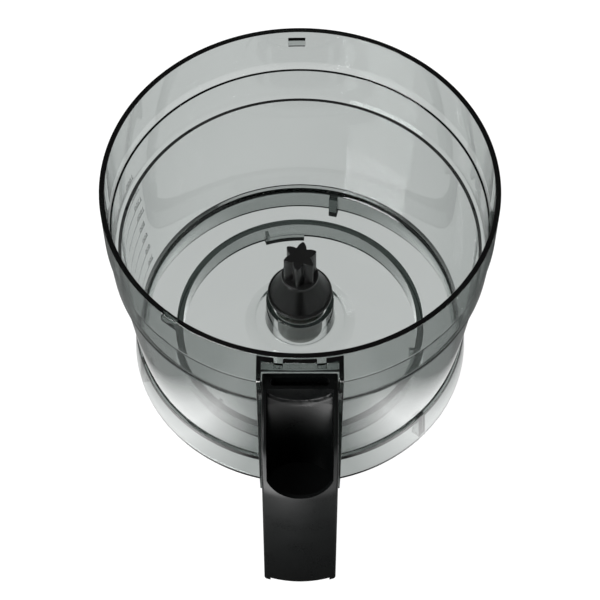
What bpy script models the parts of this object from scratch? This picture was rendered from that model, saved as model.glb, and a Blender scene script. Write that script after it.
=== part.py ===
"""Work bowl of a food processor, with its drive unit and its handle.

Metres, +Z up. The origin is at the middle of the bounding box's bottom face: the bowl stands on z = 0,
its axis is the vertical line at (0, AXIS_Y), and the handle points to -Y.

Pieces that stay with the bowl: work_bowl, the bushes and seal in its hub, the handle's shell, cover and
screws, and the rod guide, spring seat and spring inside the handle's root. Two groups move: the drive unit
turns about the bowl's axis, and the interlock rod slides down its channel when a lid's tab presses it.
"""

import math

import bmesh
import bpy
from mathutils import Matrix, Vector

# ---------------------------------------------------------------- driving dimensions
GAP = 0.0003  # between any two pieces that face each other
OVER = 0.002  # how far a cutter reaches past the surface that it opens
BITE = 0.0004  # how far a joined shape reaches into the one it grows from

# The bowl's wall: the rim's outer radius, how far the lines below it lie inside that, and their heights.
RIM_R = 0.0950
RIM_Z = 0.1380
RIM_ROUND = 0.0006
WALL = 0.0026
LEDGE_OUT_Z = 0.1134  # outer line round the wall, at the lid's depth
LEDGE_OUT_INSET = 0.0006
LEDGE_STEP = 0.0005
LEDGE_IN_Z = 0.1092  # inner ledge that the lid's skirt stops on
LEDGE_IN_DEPTH = 0.0009
WAIST_Z = 0.0895  # second line round the wall
WAIST_INSET = 0.0028
WAIST_STEP = 0.0014
WAIST_IN_RISE = 0.0018  # the waist's inner slope lies this much higher
FOOT_Z = 0.0220  # top of the skirt
FOOT_INSET = 0.0117
FOOT_STEP = 0.0010
SKIRT_FLARE = 0.0021  # how far the skirt's lower edge lies outside the foot
SKIRT_WALL = 0.0030
FLOOR_Z = 0.0184
FLOOR_T = 0.0025
FLOOR_FILLET = 0.0030
BOWL_STEPS = 64

# The locating ring and catches under the floor.
RING_R = 0.0632
RING_WALL = 0.0030
RING_FOOT_Z = 0.0040
CATCH_SPAN = math.radians(20)
CATCH_DEPTH = 0.0030
CATCH_H = 0.0035
CATCH_AZIMUTHS = [math.radians(98 + 120 * k) for k in range(3)]
RIB_W = 0.0045
RIB_DEPTH = 0.0040
RIB_AZIMUTHS = [math.radians(77 + 120 * k) for k in range(3)]

# Catches for the lid, inside the rim.
LUG_W = 0.0086
LUG_H = 0.0048
LUG_DEPTH = 0.0020
LUG_DROP = 0.0044
LUG_AZIMUTHS = [math.radians(a) for a in (91, 230, 350)]

# The hub in the middle of the floor.
HUB_CONE_R = 0.0285
HUB_STEP_R = 0.0232
HUB_STEP_H = 0.0028
HUB_R = 0.0172
HUB_TOP_Z = 0.0383
HUB_WALL = 0.0025
NECK_R = 0.0114
NECK_BORE_R = 0.0084
NECK_TOP_Z = 0.0500

# The drive unit.
SPINDLE_R = 0.0035
BUSH_FLANGE_R = 0.0110
BUSH_FLANGE_T = 0.0015
LOWER_BUSH_L = 0.0055
UPPER_BUSH_L = 0.0055
WASHER_R = 0.0090
WASHER_T = 0.0010
COUPLING_R = 0.0122
COUPLING_H = 0.0150
COUPLING_WEB = 0.0048
SOCKET_R = 0.0078  # corner radius of the coupling's hexagonal socket
PIN_R = 0.0010
CLIP_R = 0.0058
CLIP_T = 0.0009
CLIP_GROOVE = 0.0007
CLIP_OPENING = 0.0050
BELL_R = 0.0163
BELL_Z = 0.0436
BELL_EDGE_H = 0.0017
BELL_BEVEL = 0.0008
BELL_WALL = 0.0016
BELL_ROOF_GAP = 0.0008
COLLAR_R = 0.0093
COLLAR_Z = 0.0612
COLLAR_H = 0.0022
STAR_TOP_Z = 0.0777
STAR_R = 0.0082
STAR_VALLEY_R = 0.0053
STAR_POINTS = 6
STAR_TURN = math.radians(19)
SPINDLE_IN_STAR = 0.0090  # how far the spindle reaches above the collar

# The handle.
HANDLE_W = 0.0347
HANDLE_REACH = 0.1430  # from the bowl's axis to the grip's crown
HANDLE_TOP_DROP = 0.0090  # below the rim
HANDLE_BEND_R = 0.0370
HANDLE_WALL = 0.0024
CROWN = 0.0030
GRIP_DEPTH = 0.0160
GRIP_FOOT_Z = 0.0035
PRONG_H = 0.0032
PRONG_W = 0.0030
FINGER_TOP_Z = 0.0760
FINGER_ROUND = 0.0095
POCKET_FLOOR_Z = 0.0785
POCKET_W = 0.0306
POCKET_END_SAG = 0.0115  # how much further out the chute's sides are than its middle, at the floor
POCKET_WALL_H = 0.0105  # the upright wall above the chute, at its middle
POCKET_SLOPE = math.radians(13)
LIP_SIDE_Z = 0.1030
LIP_MID_Z = 0.0930
SLOT_W = 0.0270
SLOT_T = 0.0044
SLOT_WALL = 0.0016  # between the slot and the pocket

# The handle's root, measured in a frame that leans with the wall: out from the rim's outer edge, and down.
ROOT_BACK = 0.0032
ROOT_CHANNEL = 0.0103
APRON_T = 0.0012  # black wall behind the slot and the rod's upper end
APRON_DROP = 0.0360
ROOT_FRONT = 0.0120
ROOT_FOOT_Z = 0.0210
FLANGE_T = 0.0022
FLANGE_OUT = 0.0112
FLANGE_TOP_DROP = 0.0012
FLANGE_FOOT_OUT = 0.0030
WEB_T = 0.0024
COMB_OUT = 0.0020
COMB_H = 0.0092
COMB_NOTCH_H = 0.0046
COMB_NOTCHES = ((0.0078, 0.0118), (-0.0118, -0.0078))
SNAP_W = 0.0080
SNAP_H = 0.0060
SNAP_DROP = 0.0190
SNAP_OUT = 0.0014

# The interlock rod.
ROD_OUT = 0.0080
ROD_T = 0.0028
ROD_REST_GAP = 0.0006  # from the tip's shoulder up to the spring seat, its stop
BLADE_W = 0.0240
BLADE_TOP_DROP = 0.0150
BLADE_FOOT_DROP = 0.0420
STEM_R = 0.0013
SHOULDER_DROP = 0.0760
TIP_W = 0.0070
TIP_Z = 0.0079  # the rod's lower end at rest
GUIDE_T = 0.0040
GUIDE_DROP = 0.0600
SEAT_CLEAR = 0.0012  # from the root's screw blocks up to the spring seat
SPRING_R = 0.00195
SPRING_WIRE_R = 0.00025
SPRING_TURNS = 13

# Screws.
SCREW_R = 0.0014
SCREW_L = 0.0090
SCREW_HEAD_R = 0.0027
SCREW_HEAD_H = 0.0016
BOSS_R = 0.0034
ROOT_SCREW_X = 0.0115
COVER_T = 0.0024
COVER_SCREW_Z = (0.0200, 0.0600)

# ---------------------------------------------------------------- worked out from them
AXIS_Y = (HANDLE_REACH - RIM_R) / 2
LEDGE_OUT_R = RIM_R - LEDGE_OUT_INSET
WAIST_R = RIM_R - WAIST_INSET
FOOT_R = RIM_R - FOOT_INSET
SKIRT_R = FOOT_R + SKIRT_FLARE
HANDLE_TOP_Z = RIM_Z - HANDLE_TOP_DROP
LEAN = math.atan((RIM_R - FOOT_R) / (RIM_Z - FOOT_Z))
HALF_W = HANDLE_W / 2
CHANNEL_HALF = HALF_W - HANDLE_WALL
FLOOR_UNDER_Z = FLOOR_Z - FLOOR_T
HUB_BORE_R = HUB_R - HUB_WALL
HUB_SHOULDER_Z = HUB_TOP_Z - HUB_WALL
TIP_DROP = (RIM_Z - ROD_OUT * math.sin(LEAN) - TIP_Z) / math.cos(LEAN)
SEAT_FOOT_Z = ROOT_FOOT_Z + SCREW_L + SEAT_CLEAR
SEAT_DROP = (RIM_Z - ROD_OUT * math.sin(LEAN) - SEAT_FOOT_Z) / math.cos(LEAN) - GUIDE_T
BEND_OUT = HANDLE_REACH - HANDLE_BEND_R
BEND_Z = HANDLE_TOP_Z - HANDLE_BEND_R
GRIP_BACK = HANDLE_REACH - GRIP_DEPTH
BELL_ROOF_Z = NECK_TOP_Z + BELL_ROOF_GAP
SPINDLE_TOP_Z = COLLAR_Z + SPINDLE_IN_STAR
LOWER_BUSH_Z = HUB_SHOULDER_Z - GAP - BUSH_FLANGE_T
UPPER_BUSH_Z = HUB_SHOULDER_Z + LOWER_BUSH_L + GAP
SEAL_Z = UPPER_BUSH_Z + UPPER_BUSH_L + GAP
WASHER_Z = LOWER_BUSH_Z - GAP - WASHER_T
COUPLING_TOP_Z = WASHER_Z - GAP
COUPLING_Z = COUPLING_TOP_Z - COUPLING_H
SOCKET_ROOF_Z = COUPLING_TOP_Z - COUPLING_WEB
CLIP_Z = SOCKET_ROOF_Z - GAP - CLIP_T
SPINDLE_FOOT_Z = CLIP_Z - GAP - 2 * CLIP_T


# ---------------------------------------------------------------- small tools
def clear_scene():
    for old in list(bpy.data.objects):
        bpy.data.objects.remove(old)


def material(name, color, roughness, metallic=0.0, transmission=0.0):
    made = bpy.data.materials.new(name)
    made.use_nodes = True
    shader = made.node_tree.nodes["Principled BSDF"]
    shader.inputs["Base Color"].default_value = (*color, 1.0)
    shader.inputs["Roughness"].default_value = roughness
    shader.inputs["Metallic"].default_value = metallic
    shader.inputs["Transmission Weight"].default_value = transmission
    made.diffuse_color = (*color, 1.0)
    return made


def empty(name, place, lean=0.0, parent=None):
    made = bpy.data.objects.new(name, None)
    bpy.context.scene.collection.objects.link(made)
    made.location = place
    made.rotation_euler = (lean, 0, 0)
    made.parent = parent
    return made


def solid(name, bm, finish, parent, smooth_angle=math.radians(30)):
    """An object from a closed bmesh, with its faces turned outwards."""
    bmesh.ops.recalc_face_normals(bm, faces=bm.faces)
    mesh = bpy.data.meshes.new(name)
    bm.to_mesh(mesh)
    bm.free()
    mesh.shade_smooth()
    mesh.set_sharp_from_angle(angle=smooth_angle)
    made = bpy.data.objects.new(name, mesh)
    bpy.context.scene.collection.objects.link(made)
    made.parent = parent
    if finish:
        mesh.materials.append(finish)
    return made


def helper(name, bm, parent):
    """A shape that cuts or joins another and is no piece itself."""
    made = solid(name, bm, None, parent)
    made.hide_render = True
    made.display_type = "WIRE"
    return made


def boolean(target, operation, tools):
    for tool in tools:
        modifier = target.modifiers.new(tool.name, "BOOLEAN")
        modifier.operation = operation
        modifier.solver = "EXACT"
        modifier.object = tool


def cut(target, *tools):
    boolean(target, "DIFFERENCE", tools)


def join(target, *tools):
    boolean(target, "UNION", tools)


def turned(profile, steps, closed=True):
    """The profile, radius and height pairs, spun once round Z. Open profiles start and end on the axis."""
    bm = bmesh.new()
    verts = [bm.verts.new((radius, 0, height)) for radius, height in profile]
    ends = verts[1:] + verts[:1] if closed else verts[1:]
    edges = [bm.edges.new(pair) for pair in zip(verts, ends)]
    bmesh.ops.spin(
        bm, geom=verts + edges, cent=(0, 0, 0), axis=(0, 0, 1), angle=math.tau, steps=steps, use_merge=True
    )
    bmesh.ops.remove_doubles(bm, verts=bm.verts, dist=1e-6)
    return bm


def tube(outer, inner, low, high, steps):
    return turned([(outer, low), (outer, high), (inner, high), (inner, low)], steps)


def rod_shape(radius, low, high, steps):
    return turned([(0, low), (radius, low), (radius, high), (0, high)], steps, closed=False)


def block(low, high):
    bm = bmesh.new()
    bmesh.ops.create_cube(bm, size=1)
    size = Vector(high) - Vector(low)
    bmesh.ops.scale(bm, vec=size, verts=bm.verts)
    bmesh.ops.translate(bm, vec=Vector(low) + size / 2, verts=bm.verts)
    return bm


def prism(outline, low, high, direction):
    """The outline, 3-D points in one plane, as a solid from low to high along the direction."""
    bm = bmesh.new()
    way = Vector(direction)
    face = bm.faces.new([bm.verts.new(Vector(point) + way * low) for point in outline])
    grown = bmesh.ops.extrude_face_region(bm, geom=[face])["geom"]
    moved = [item for item in grown if isinstance(item, bmesh.types.BMVert)]
    bmesh.ops.translate(bm, vec=way * (high - low), verts=moved)
    return bm


def upright(outline, low, high):
    """A prism of a plan outline, x and y pairs, between two heights."""
    return prism([(x, y, 0) for x, y in outline], low, high, (0, 0, 1))


def sideways(outline, half_width):
    """A prism of a side outline, distance out towards -Y and height, centred on x = 0."""
    return prism([(0, -out, z) for out, z in outline], -half_width, half_width, (1, 0, 0))


def add(bm, *others):
    """Puts the others' separate bodies into bm."""
    for other in others:
        mesh = bpy.data.meshes.new("part")
        other.to_mesh(mesh)
        other.free()
        bm.from_mesh(mesh)
        bpy.data.meshes.remove(mesh)
    return bm


def turn_to(bm, azimuth):
    bmesh.ops.rotate(bm, cent=(0, 0, 0), matrix=Matrix.Rotation(azimuth, 3, "Z"), verts=bm.verts)
    return bm


def arc(centre, radius, start, end, count):
    """Points on an arc, angles in degrees from the first axis towards the second."""
    angles = [math.radians(start + (end - start) * k / count) for k in range(count + 1)]
    return [(centre[0] + radius * math.cos(a), centre[1] + radius * math.sin(a)) for a in angles]


def polygon(count, radius, turn=0.0):
    angles = [turn + math.tau * k / count for k in range(count)]
    return [(radius * math.cos(a), radius * math.sin(a)) for a in angles]


def along(points, height):
    """Radius at a height on a profile whose heights only fall."""
    for (r0, z0), (r1, z1) in zip(points, points[1:]):
        if z1 <= height <= z0 and z0 > z1:
            return r0 + (r1 - r0) * (z0 - height) / (z0 - z1)
    return points[-1][0]


def leaning(out, down):
    """Distance from the axis and height of a point in the handle root's frame."""
    return (
        RIM_R + out * math.cos(LEAN) - down * math.sin(LEAN),
        RIM_Z - out * math.sin(LEAN) - down * math.cos(LEAN),
    )


def leaning_at(out, height):
    """Distance from the axis of the root frame's line at that distance out, at a height."""
    down = (RIM_Z - out * math.sin(LEAN) - height) / math.cos(LEAN)
    return leaning(out, down)[0]


# ---------------------------------------------------------------- the bowl
def wall_outside():
    """Outer face from the rim to the foot, falling."""
    return [
        (RIM_R - RIM_ROUND, RIM_Z),
        (RIM_R, RIM_Z - RIM_ROUND),
        (LEDGE_OUT_R, LEDGE_OUT_Z),
        (LEDGE_OUT_R - LEDGE_STEP, LEDGE_OUT_Z - LEDGE_STEP),
        (WAIST_R, WAIST_Z),
        (WAIST_R - WAIST_STEP, WAIST_Z - WAIST_STEP),
        (FOOT_R, FOOT_Z),
        (FOOT_R + FOOT_STEP, FOOT_Z - FOOT_STEP),
        (SKIRT_R, RIM_ROUND),
        (SKIRT_R - RIM_ROUND, 0),
    ]


def wall_inside():
    """Inner face from the rim to where the floor's fillet starts, falling."""
    outside = wall_outside()
    ledge_r = along(outside, LEDGE_IN_Z - WALL) - WALL
    waist_z = WAIST_Z + WAIST_IN_RISE
    fillet_z = FLOOR_Z + FLOOR_FILLET
    return [
        (RIM_R - WALL + RIM_ROUND, RIM_Z),
        (RIM_R - WALL, RIM_Z - RIM_ROUND),
        (ledge_r + LEDGE_IN_DEPTH, LEDGE_IN_Z),
        (ledge_r, LEDGE_IN_Z - 0.5 * LEDGE_IN_DEPTH),
        (along(outside, waist_z) - WALL, waist_z),
        (along(outside, waist_z - WAIST_STEP) - WALL - WAIST_STEP, waist_z - 1.5 * WAIST_STEP),
        (FOOT_R - WALL + (fillet_z - FOOT_Z) * math.tan(LEAN), fillet_z),
    ]


def hub_outside():
    """Upper face from the floor up to the neck's top, ending at the neck's bore."""
    return [
        (HUB_CONE_R, FLOOR_Z),
        (HUB_STEP_R, FLOOR_Z + HUB_STEP_H),
        (HUB_R + 0.0022, FLOOR_Z + HUB_STEP_H + 0.0008),
        (HUB_R + 0.0006, FLOOR_Z + HUB_STEP_H + 0.0032),
        (HUB_R, HUB_TOP_Z - 0.0008),
        (HUB_R - 0.0008, HUB_TOP_Z),
        (NECK_R, HUB_TOP_Z),
        (NECK_R, NECK_TOP_Z - 0.0006),
        (NECK_R - 0.0006, NECK_TOP_Z),
        (NECK_BORE_R, NECK_TOP_Z),
    ]


def hub_inside():
    """Lower face from the neck's bore down to the floor's underside, opening downwards."""
    return [
        (NECK_BORE_R, HUB_SHOULDER_Z),
        (HUB_BORE_R, HUB_SHOULDER_Z),
        (HUB_BORE_R + 0.0004, FLOOR_Z + HUB_STEP_H),
        (HUB_STEP_R - HUB_WALL, FLOOR_UNDER_Z + 0.5 * HUB_STEP_H),
        (HUB_CONE_R - HUB_WALL, FLOOR_UNDER_Z),
    ]


def bowl_section():
    """The whole bowl's section, once round: outside, under the floor, hub and inside."""
    skirt_in = SKIRT_R - SKIRT_WALL
    ring_in = RING_R - RING_WALL
    underside = [
        (skirt_in, 0),
        (FOOT_R + FOOT_STEP - SKIRT_WALL, FLOOR_UNDER_Z),
        (RING_R, FLOOR_UNDER_Z),
        (RING_R, RING_FOOT_Z),
        (ring_in, RING_FOOT_Z),
        (ring_in, FLOOR_UNDER_Z),
    ]
    inside = wall_inside()
    corner = inside[-1][0] - FLOOR_FILLET
    fillet = arc((corner, FLOOR_Z + FLOOR_FILLET), FLOOR_FILLET, -90, 0, 3)[:-1]
    return (
        wall_outside()
        + underside
        + hub_inside()[::-1]
        + hub_outside()[::-1]
        + fillet
        + inside[::-1]
    )


def wall_middle(height, x):
    """Distance from x's axis to the middle of the wall, on the handle's side."""
    outer = along(wall_outside(), height)
    inner = along(wall_inside(), height) if height > FLOOR_Z + FLOOR_FILLET else outer - SKIRT_WALL
    middle = (outer + inner) / 2
    return math.sqrt(middle * middle - x * x)


def flange(side):
    """One clear cheek beside the handle's root: its back follows the middle of the wall."""
    x = HALF_W + GAP
    top = RIM_Z - FLANGE_TOP_DROP
    levels = [top, LEDGE_OUT_Z, LEDGE_IN_Z, WAIST_Z + WAIST_IN_RISE, WAIST_Z, FOOT_Z, FOOT_Z - FOOT_STEP, 0.0]
    back = [(wall_middle(z, x + FLANGE_T / 2), z) for z in levels]
    front = [
        (SKIRT_R + FLANGE_FOOT_OUT, 0.0),
        (leaning_at(FLANGE_OUT, FOOT_Z), FOOT_Z),
        (leaning_at(FLANGE_OUT, top - FLANGE_T), top - FLANGE_T),
        (leaning_at(FLANGE_OUT, top) - FLANGE_T, top),
    ]
    low, high = sorted((side * x, side * (x + FLANGE_T)))
    return prism([(0, -out, z) for out, z in back + front], low, high, (1, 0, 0))


def comb():
    """The clear plate that joins the cheeks over the handle's top, with two notches."""
    top = RIM_Z - FLANGE_TOP_DROP
    foot = RIM_Z - COMB_H
    notch = top - COMB_NOTCH_H
    half = HALF_W + GAP + BITE
    edges = sorted(x for pair in COMB_NOTCHES for x in pair)
    outline = [(-half, foot), (-half, top)]
    for start, end in zip(edges[::2], edges[1::2]):
        outline += [(start, top), (start, notch), (end, notch), (end, top)]
    outline += [(half, top), (half, foot)]
    back = math.sqrt((RIM_R - WALL / 2) ** 2 - half**2)
    return prism([(x, 0, z) for x, z in outline], back, RIM_R + COMB_OUT, (0, -1, 0))


def foot_web():
    """The clear plate under the handle's root, between the cheeks, with the rod's window left out."""
    half = HALF_W + GAP + BITE
    high = ROOT_FOOT_Z - GAP
    low = high - WEB_T
    back = wall_middle(low, half)
    front = leaning_at(FLANGE_OUT, high)
    bm = block((-half, -front, low), (half, -back, high))
    return bm


def sector_block(radius_in, radius_out, low, high, azimuth, span):
    """A short curved bar on a circle about the axis."""
    count = 4
    angles = [azimuth - span / 2 + span * k / count for k in range(count + 1)]
    outline = [(radius_out * math.cos(a), radius_out * math.sin(a)) for a in angles]
    outline += [(radius_in * math.cos(a), radius_in * math.sin(a)) for a in reversed(angles)]
    return upright(outline, low, high)


def bowl_catches():
    """Lid catches under the rim, base catches inside the ring and ribs inside the skirt, one body each."""
    rim_in = RIM_R - WALL
    high = RIM_Z - LUG_DROP
    ring_in = RING_R - RING_WALL
    skirt_in = FOOT_R + FOOT_STEP - SKIRT_WALL
    shapes = []
    for azimuth in LUG_AZIMUTHS:
        inner = along(wall_inside(), high - LUG_H) - LUG_DEPTH
        shapes.append(sector_block(inner, rim_in + WALL / 2, high - LUG_H, high, azimuth, LUG_W / rim_in))
    for azimuth in CATCH_AZIMUTHS:
        shapes.append(
            sector_block(
                ring_in - CATCH_DEPTH,
                ring_in + BITE,
                RING_FOOT_Z + BITE,
                RING_FOOT_Z + CATCH_H,
                azimuth,
                CATCH_SPAN,
            )
        )
    for azimuth in RIB_AZIMUTHS:
        span = RIB_W / skirt_in
        shapes.append(
            sector_block(
                skirt_in - RIB_DEPTH,
                SKIRT_R - SKIRT_WALL / 2,
                RIM_ROUND,
                FLOOR_UNDER_Z + BITE,
                azimuth,
                span,
            )
        )
    return add(shapes[0], *shapes[1:])


def snap_window(side):
    """Opening in a cheek for the handle's barb, in the root's frame."""
    x = side * (HALF_W + GAP + FLANGE_T / 2)
    half = FLANGE_T / 2 + OVER / 2
    middle = (ROOT_BACK + ROOT_CHANNEL) / 2
    return block(
        (x - half, -middle - SNAP_H / 2, -SNAP_DROP - SNAP_W / 2),
        (x + half, -middle + SNAP_H / 2, -SNAP_DROP + SNAP_W / 2),
    )


def make_bowl(axis, root_frame, clear):
    bowl = solid("work_bowl", turned(bowl_section(), BOWL_STEPS), clear, axis)
    join(bowl, helper("bowl_catches", bowl_catches(), axis))
    for name, side in (("left", -1), ("right", 1)):
        join(bowl, helper(f"cheek_{name}", flange(side), axis))
    join(bowl, helper("handle_comb", comb(), axis), helper("foot_web", foot_web(), axis))
    cut(bowl, helper("snap_windows", add(snap_window(-1), snap_window(1)), root_frame))
    cut(bowl, helper("rod_window", rod_window(), root_frame))
    cut(bowl, helper("web_screw_holes", web_screw_holes(), axis))
    return bowl


def rod_window():
    """Clears the rod's tip through the foot web, in the root's frame."""
    half = TIP_W / 2 + 2 * GAP
    down = (RIM_Z - ROOT_FOOT_Z) / math.cos(LEAN)
    return block(
        (-half, -ROD_OUT - ROD_T / 2 - 2 * GAP, -down - 3 * WEB_T),
        (half, -ROD_OUT + ROD_T / 2 + 2 * GAP, -down + 2 * WEB_T),
    )


# ---------------------------------------------------------------- screws
def screw(foot, length, direction, turn_from=(0, 0, 1)):
    """A screw whose head's outer face is centred at foot and whose point lies along the direction."""
    bm = turned(
        [
            (0, 0),
            (SCREW_HEAD_R, 0),
            (SCREW_HEAD_R, SCREW_HEAD_H * 0.6),
            (SCREW_R, SCREW_HEAD_H),
            (SCREW_R, length - SCREW_R),
            (0, length),
        ],
        16,
        closed=False,
    )
    turn = Vector(turn_from).rotation_difference(Vector(direction)).to_matrix()
    bmesh.ops.rotate(bm, cent=(0, 0, 0), matrix=turn, verts=bm.verts)
    bmesh.ops.translate(bm, vec=Vector(foot), verts=bm.verts)
    return bm


def bore(foot, radius, length, direction):
    """A round cutter from foot along the direction."""
    bm = rod_shape(radius, 0, length, 16)
    turn = Vector((0, 0, 1)).rotation_difference(Vector(direction)).to_matrix()
    bmesh.ops.rotate(bm, cent=(0, 0, 0), matrix=turn, verts=bm.verts)
    bmesh.ops.translate(bm, vec=Vector(foot), verts=bm.verts)
    return bm


def root_screw_feet():
    """Under the foot web, either side of the rod: where the root screws' heads start."""
    out = leaning_at(ROD_OUT, ROOT_FOOT_Z)
    z = ROOT_FOOT_Z - 2 * GAP - WEB_T - SCREW_HEAD_H
    return [(side * ROOT_SCREW_X, -out, z) for side in (-1, 1)]


def web_screw_holes():
    shapes = [
        bore((x, y, z - OVER), SCREW_R + GAP, SCREW_HEAD_H + WEB_T + 2 * OVER, (0, 0, 1))
        for x, y, z in root_screw_feet()
    ]
    return add(shapes[0], *shapes[1:])


def cover_screw_feet():
    """On the finger side of the grip's cover: where the cover screws' heads start."""
    return [(0, -(GRIP_BACK + GAP), z) for z in COVER_SCREW_Z]


def make_screws(axis, steel):
    for name, foot in zip(("left", "right"), root_screw_feet()):
        solid(f"root_screw_{name}", screw(foot, SCREW_L + WEB_T, (0, 0, 1)), steel, axis)
    for name, foot in zip(("lower", "upper"), cover_screw_feet()):
        solid(f"cover_screw_{name}", screw(foot, SCREW_L, (0, -1, 0)), steel, axis)


# ---------------------------------------------------------------- the handle
def handle_side():
    """The handle's outline seen from the side, as distance out and height."""
    root_foot_front = (leaning_at(ROOT_FRONT, ROOT_FOOT_Z), ROOT_FOOT_Z)
    gap_front = leaning_at(ROOT_FRONT, FINGER_TOP_Z - FINGER_ROUND)
    roof_back = gap_front + FINGER_ROUND
    roof_front = GRIP_BACK - FINGER_ROUND
    low = FINGER_TOP_Z - FINGER_ROUND
    return (
        [(leaning_at(ROOT_BACK, HANDLE_TOP_Z), HANDLE_TOP_Z)]
        + arc((BEND_OUT, BEND_Z), HANDLE_BEND_R, 90, 0, 14)
        + [(HANDLE_REACH, GRIP_FOOT_Z), (GRIP_BACK, GRIP_FOOT_Z)]
        + arc((roof_front, low), FINGER_ROUND, 0, 90, 4)
        + arc((roof_back, low), FINGER_ROUND, 90, 180, 4)
        + [root_foot_front, (leaning_at(ROOT_BACK, ROOT_FOOT_Z), ROOT_FOOT_Z)]
    )


def handle_plan():
    """The handle's outline from above: straight sides and a crowned front."""
    edge = HANDLE_REACH - CROWN
    radius = (HALF_W**2 + CROWN**2) / (2 * CROWN)
    centre = HANDLE_REACH - radius
    half_angle = math.degrees(math.asin(HALF_W / radius))
    crown = [(out_x, -out_y) for out_y, out_x in arc((centre, 0), radius, -half_angle, half_angle, 10)]
    start = RIM_R - 10 * OVER
    return [(-HALF_W, -start), *crown, (HALF_W, -start)], edge


def slot_centre():
    """Distance from the axis to the lid slot: it stands over the rod."""
    return leaning_at(ROD_OUT, HANDLE_TOP_Z)


def pocket_back():
    """Distance from the axis to the pocket's upright back wall."""
    return slot_centre() + SLOT_T / 2 + SLOT_WALL


def pocket_shape():
    """The thumb pocket: under its upright back wall a hollowed chute slopes out to a flat floor."""
    half = POCKET_W / 2
    front = HANDLE_REACH - CROWN - HANDLE_WALL
    top = HANDLE_TOP_Z + OVER
    wall_foot = HANDLE_TOP_Z - POCKET_WALL_H
    fall = wall_foot - POCKET_FLOOR_Z
    levels = [(top, 0.0)] + [(wall_foot - fall * k / 6, k / 6) for k in range(7)]
    levels.insert(1, (HANDLE_TOP_Z - 0.4 * POCKET_WALL_H, 0.0))
    rows = []
    bm = bmesh.new()
    for z, share in levels:
        wall = pocket_back()
        chute = wall + (wall_foot - z) * math.tan(POCKET_SLOPE)
        sag = POCKET_END_SAG * (0.20 + 0.80 * share)
        plan = []
        for degrees in range(-90, 91, 15):
            angle = math.radians(degrees)
            out = max(wall, chute + sag * (1 - math.cos(angle)))
            plan.append((half * math.sin(angle), out))
        outline = [(-half, front)] + plan + [(half, front)]
        rows.append([bm.verts.new((x, -out, z)) for x, out in outline])
    for upper, lower in zip(rows, rows[1:]):
        for k in range(len(upper)):
            after = (k + 1) % len(upper)
            bm.faces.new([upper[k], upper[after], lower[after], lower[k]])
    bm.faces.new(rows[0])
    bm.faces.new(rows[-1])
    return bm


def pocket_mouth():
    """Opens the pocket through the handle's bend, down to the curved lip."""
    half = POCKET_W / 2 - BITE / 2
    rise = LIP_SIDE_Z - LIP_MID_Z
    radius = (half**2 + rise**2) / (2 * rise)
    half_angle = math.degrees(math.asin(half / radius))
    lip = arc((0, LIP_MID_Z + radius), radius, -90 - half_angle, -90 + half_angle, 10)
    top = HANDLE_TOP_Z + OVER
    outline = [(x, 0, z) for x, z in lip + [(half, top), (-half, top)]]
    start = pocket_back() + POCKET_END_SAG
    return prism(outline, start, HANDLE_REACH + OVER, (0, -1, 0))


def rod_channel():
    """Hollow behind the root's front wall, open below and, under the apron, to the bowl, in the root's frame."""
    top = (RIM_Z - HANDLE_TOP_Z) + HANDLE_WALL + ROOT_CHANNEL * math.sin(LEAN)
    foot = (RIM_Z - ROOT_FOOT_Z) / math.cos(LEAN) + OVER
    behind_apron = -ROOT_BACK - APRON_T
    shape = block((-CHANNEL_HALF, -ROOT_CHANNEL, -foot), (CHANNEL_HALF, -ROOT_BACK + OVER, -APRON_DROP))
    return shape, block((-CHANNEL_HALF, -ROOT_CHANNEL, -APRON_DROP - BITE), (CHANNEL_HALF, behind_apron, -top))


def lid_slot():
    half = (SLOT_W - SLOT_T) / 2
    out = slot_centre()
    radius = SLOT_T / 2
    right = arc((half, -out), radius, -90, 90, 6)
    left = arc((-half, -out), radius, 90, 270, 6)
    return upright(right + left, HANDLE_TOP_Z - 3 * HANDLE_WALL, HANDLE_TOP_Z + OVER)


def grip_hollow():
    half = HALF_W - PRONG_W + GAP
    high = FINGER_TOP_Z - FINGER_ROUND
    front = HANDLE_REACH - CROWN - HANDLE_WALL
    return block((-half, -front, GRIP_FOOT_Z - OVER), (half, -GRIP_BACK + OVER, high))


def prong_notch():
    """Shortens the grip's front between the two prongs."""
    half = HALF_W - PRONG_W
    low, high = GRIP_FOOT_Z - OVER, GRIP_FOOT_Z + PRONG_H
    return block((-half, -HANDLE_REACH - OVER, low), (half, -GRIP_BACK + OVER, high))


def cover_bosses():
    front = HANDLE_REACH - CROWN - HANDLE_WALL + BITE
    back = GRIP_BACK + COVER_T + 2 * GAP
    return [bore((0, -back, z), BOSS_R, front - back, (0, -1, 0)) for z in COVER_SCREW_Z]


def root_blocks():
    """Two solid corners at the foot of the channel that the root screws bite into."""
    z = ROOT_FOOT_Z
    shapes = []
    for x, y, _ in root_screw_feet():
        inner, outer = x - math.copysign(BOSS_R, x), math.copysign(CHANNEL_HALF + BITE, x)
        low, high = sorted((inner, outer))
        # the front reaches right into the leaning front wall, so the block never ends along that wall's face
        shapes.append(block((low, y - BOSS_R, z + BITE), (high, y + 0.8 * BOSS_R, z + SCREW_L)))
    return shapes


def barb(side):
    """The catch that snaps into a cheek's window, in the root's frame."""
    low, high = sorted((side * (HALF_W - BITE), side * (HALF_W + SNAP_OUT)))
    middle = (ROOT_BACK + ROOT_CHANNEL) / 2
    clear = 2 * GAP
    return block(
        (low, -middle - SNAP_H / 2 + clear, -SNAP_DROP - SNAP_W / 2 + clear),
        (high, -middle + SNAP_H / 2 - clear, -SNAP_DROP + SNAP_W / 2 - clear),
    )


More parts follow.
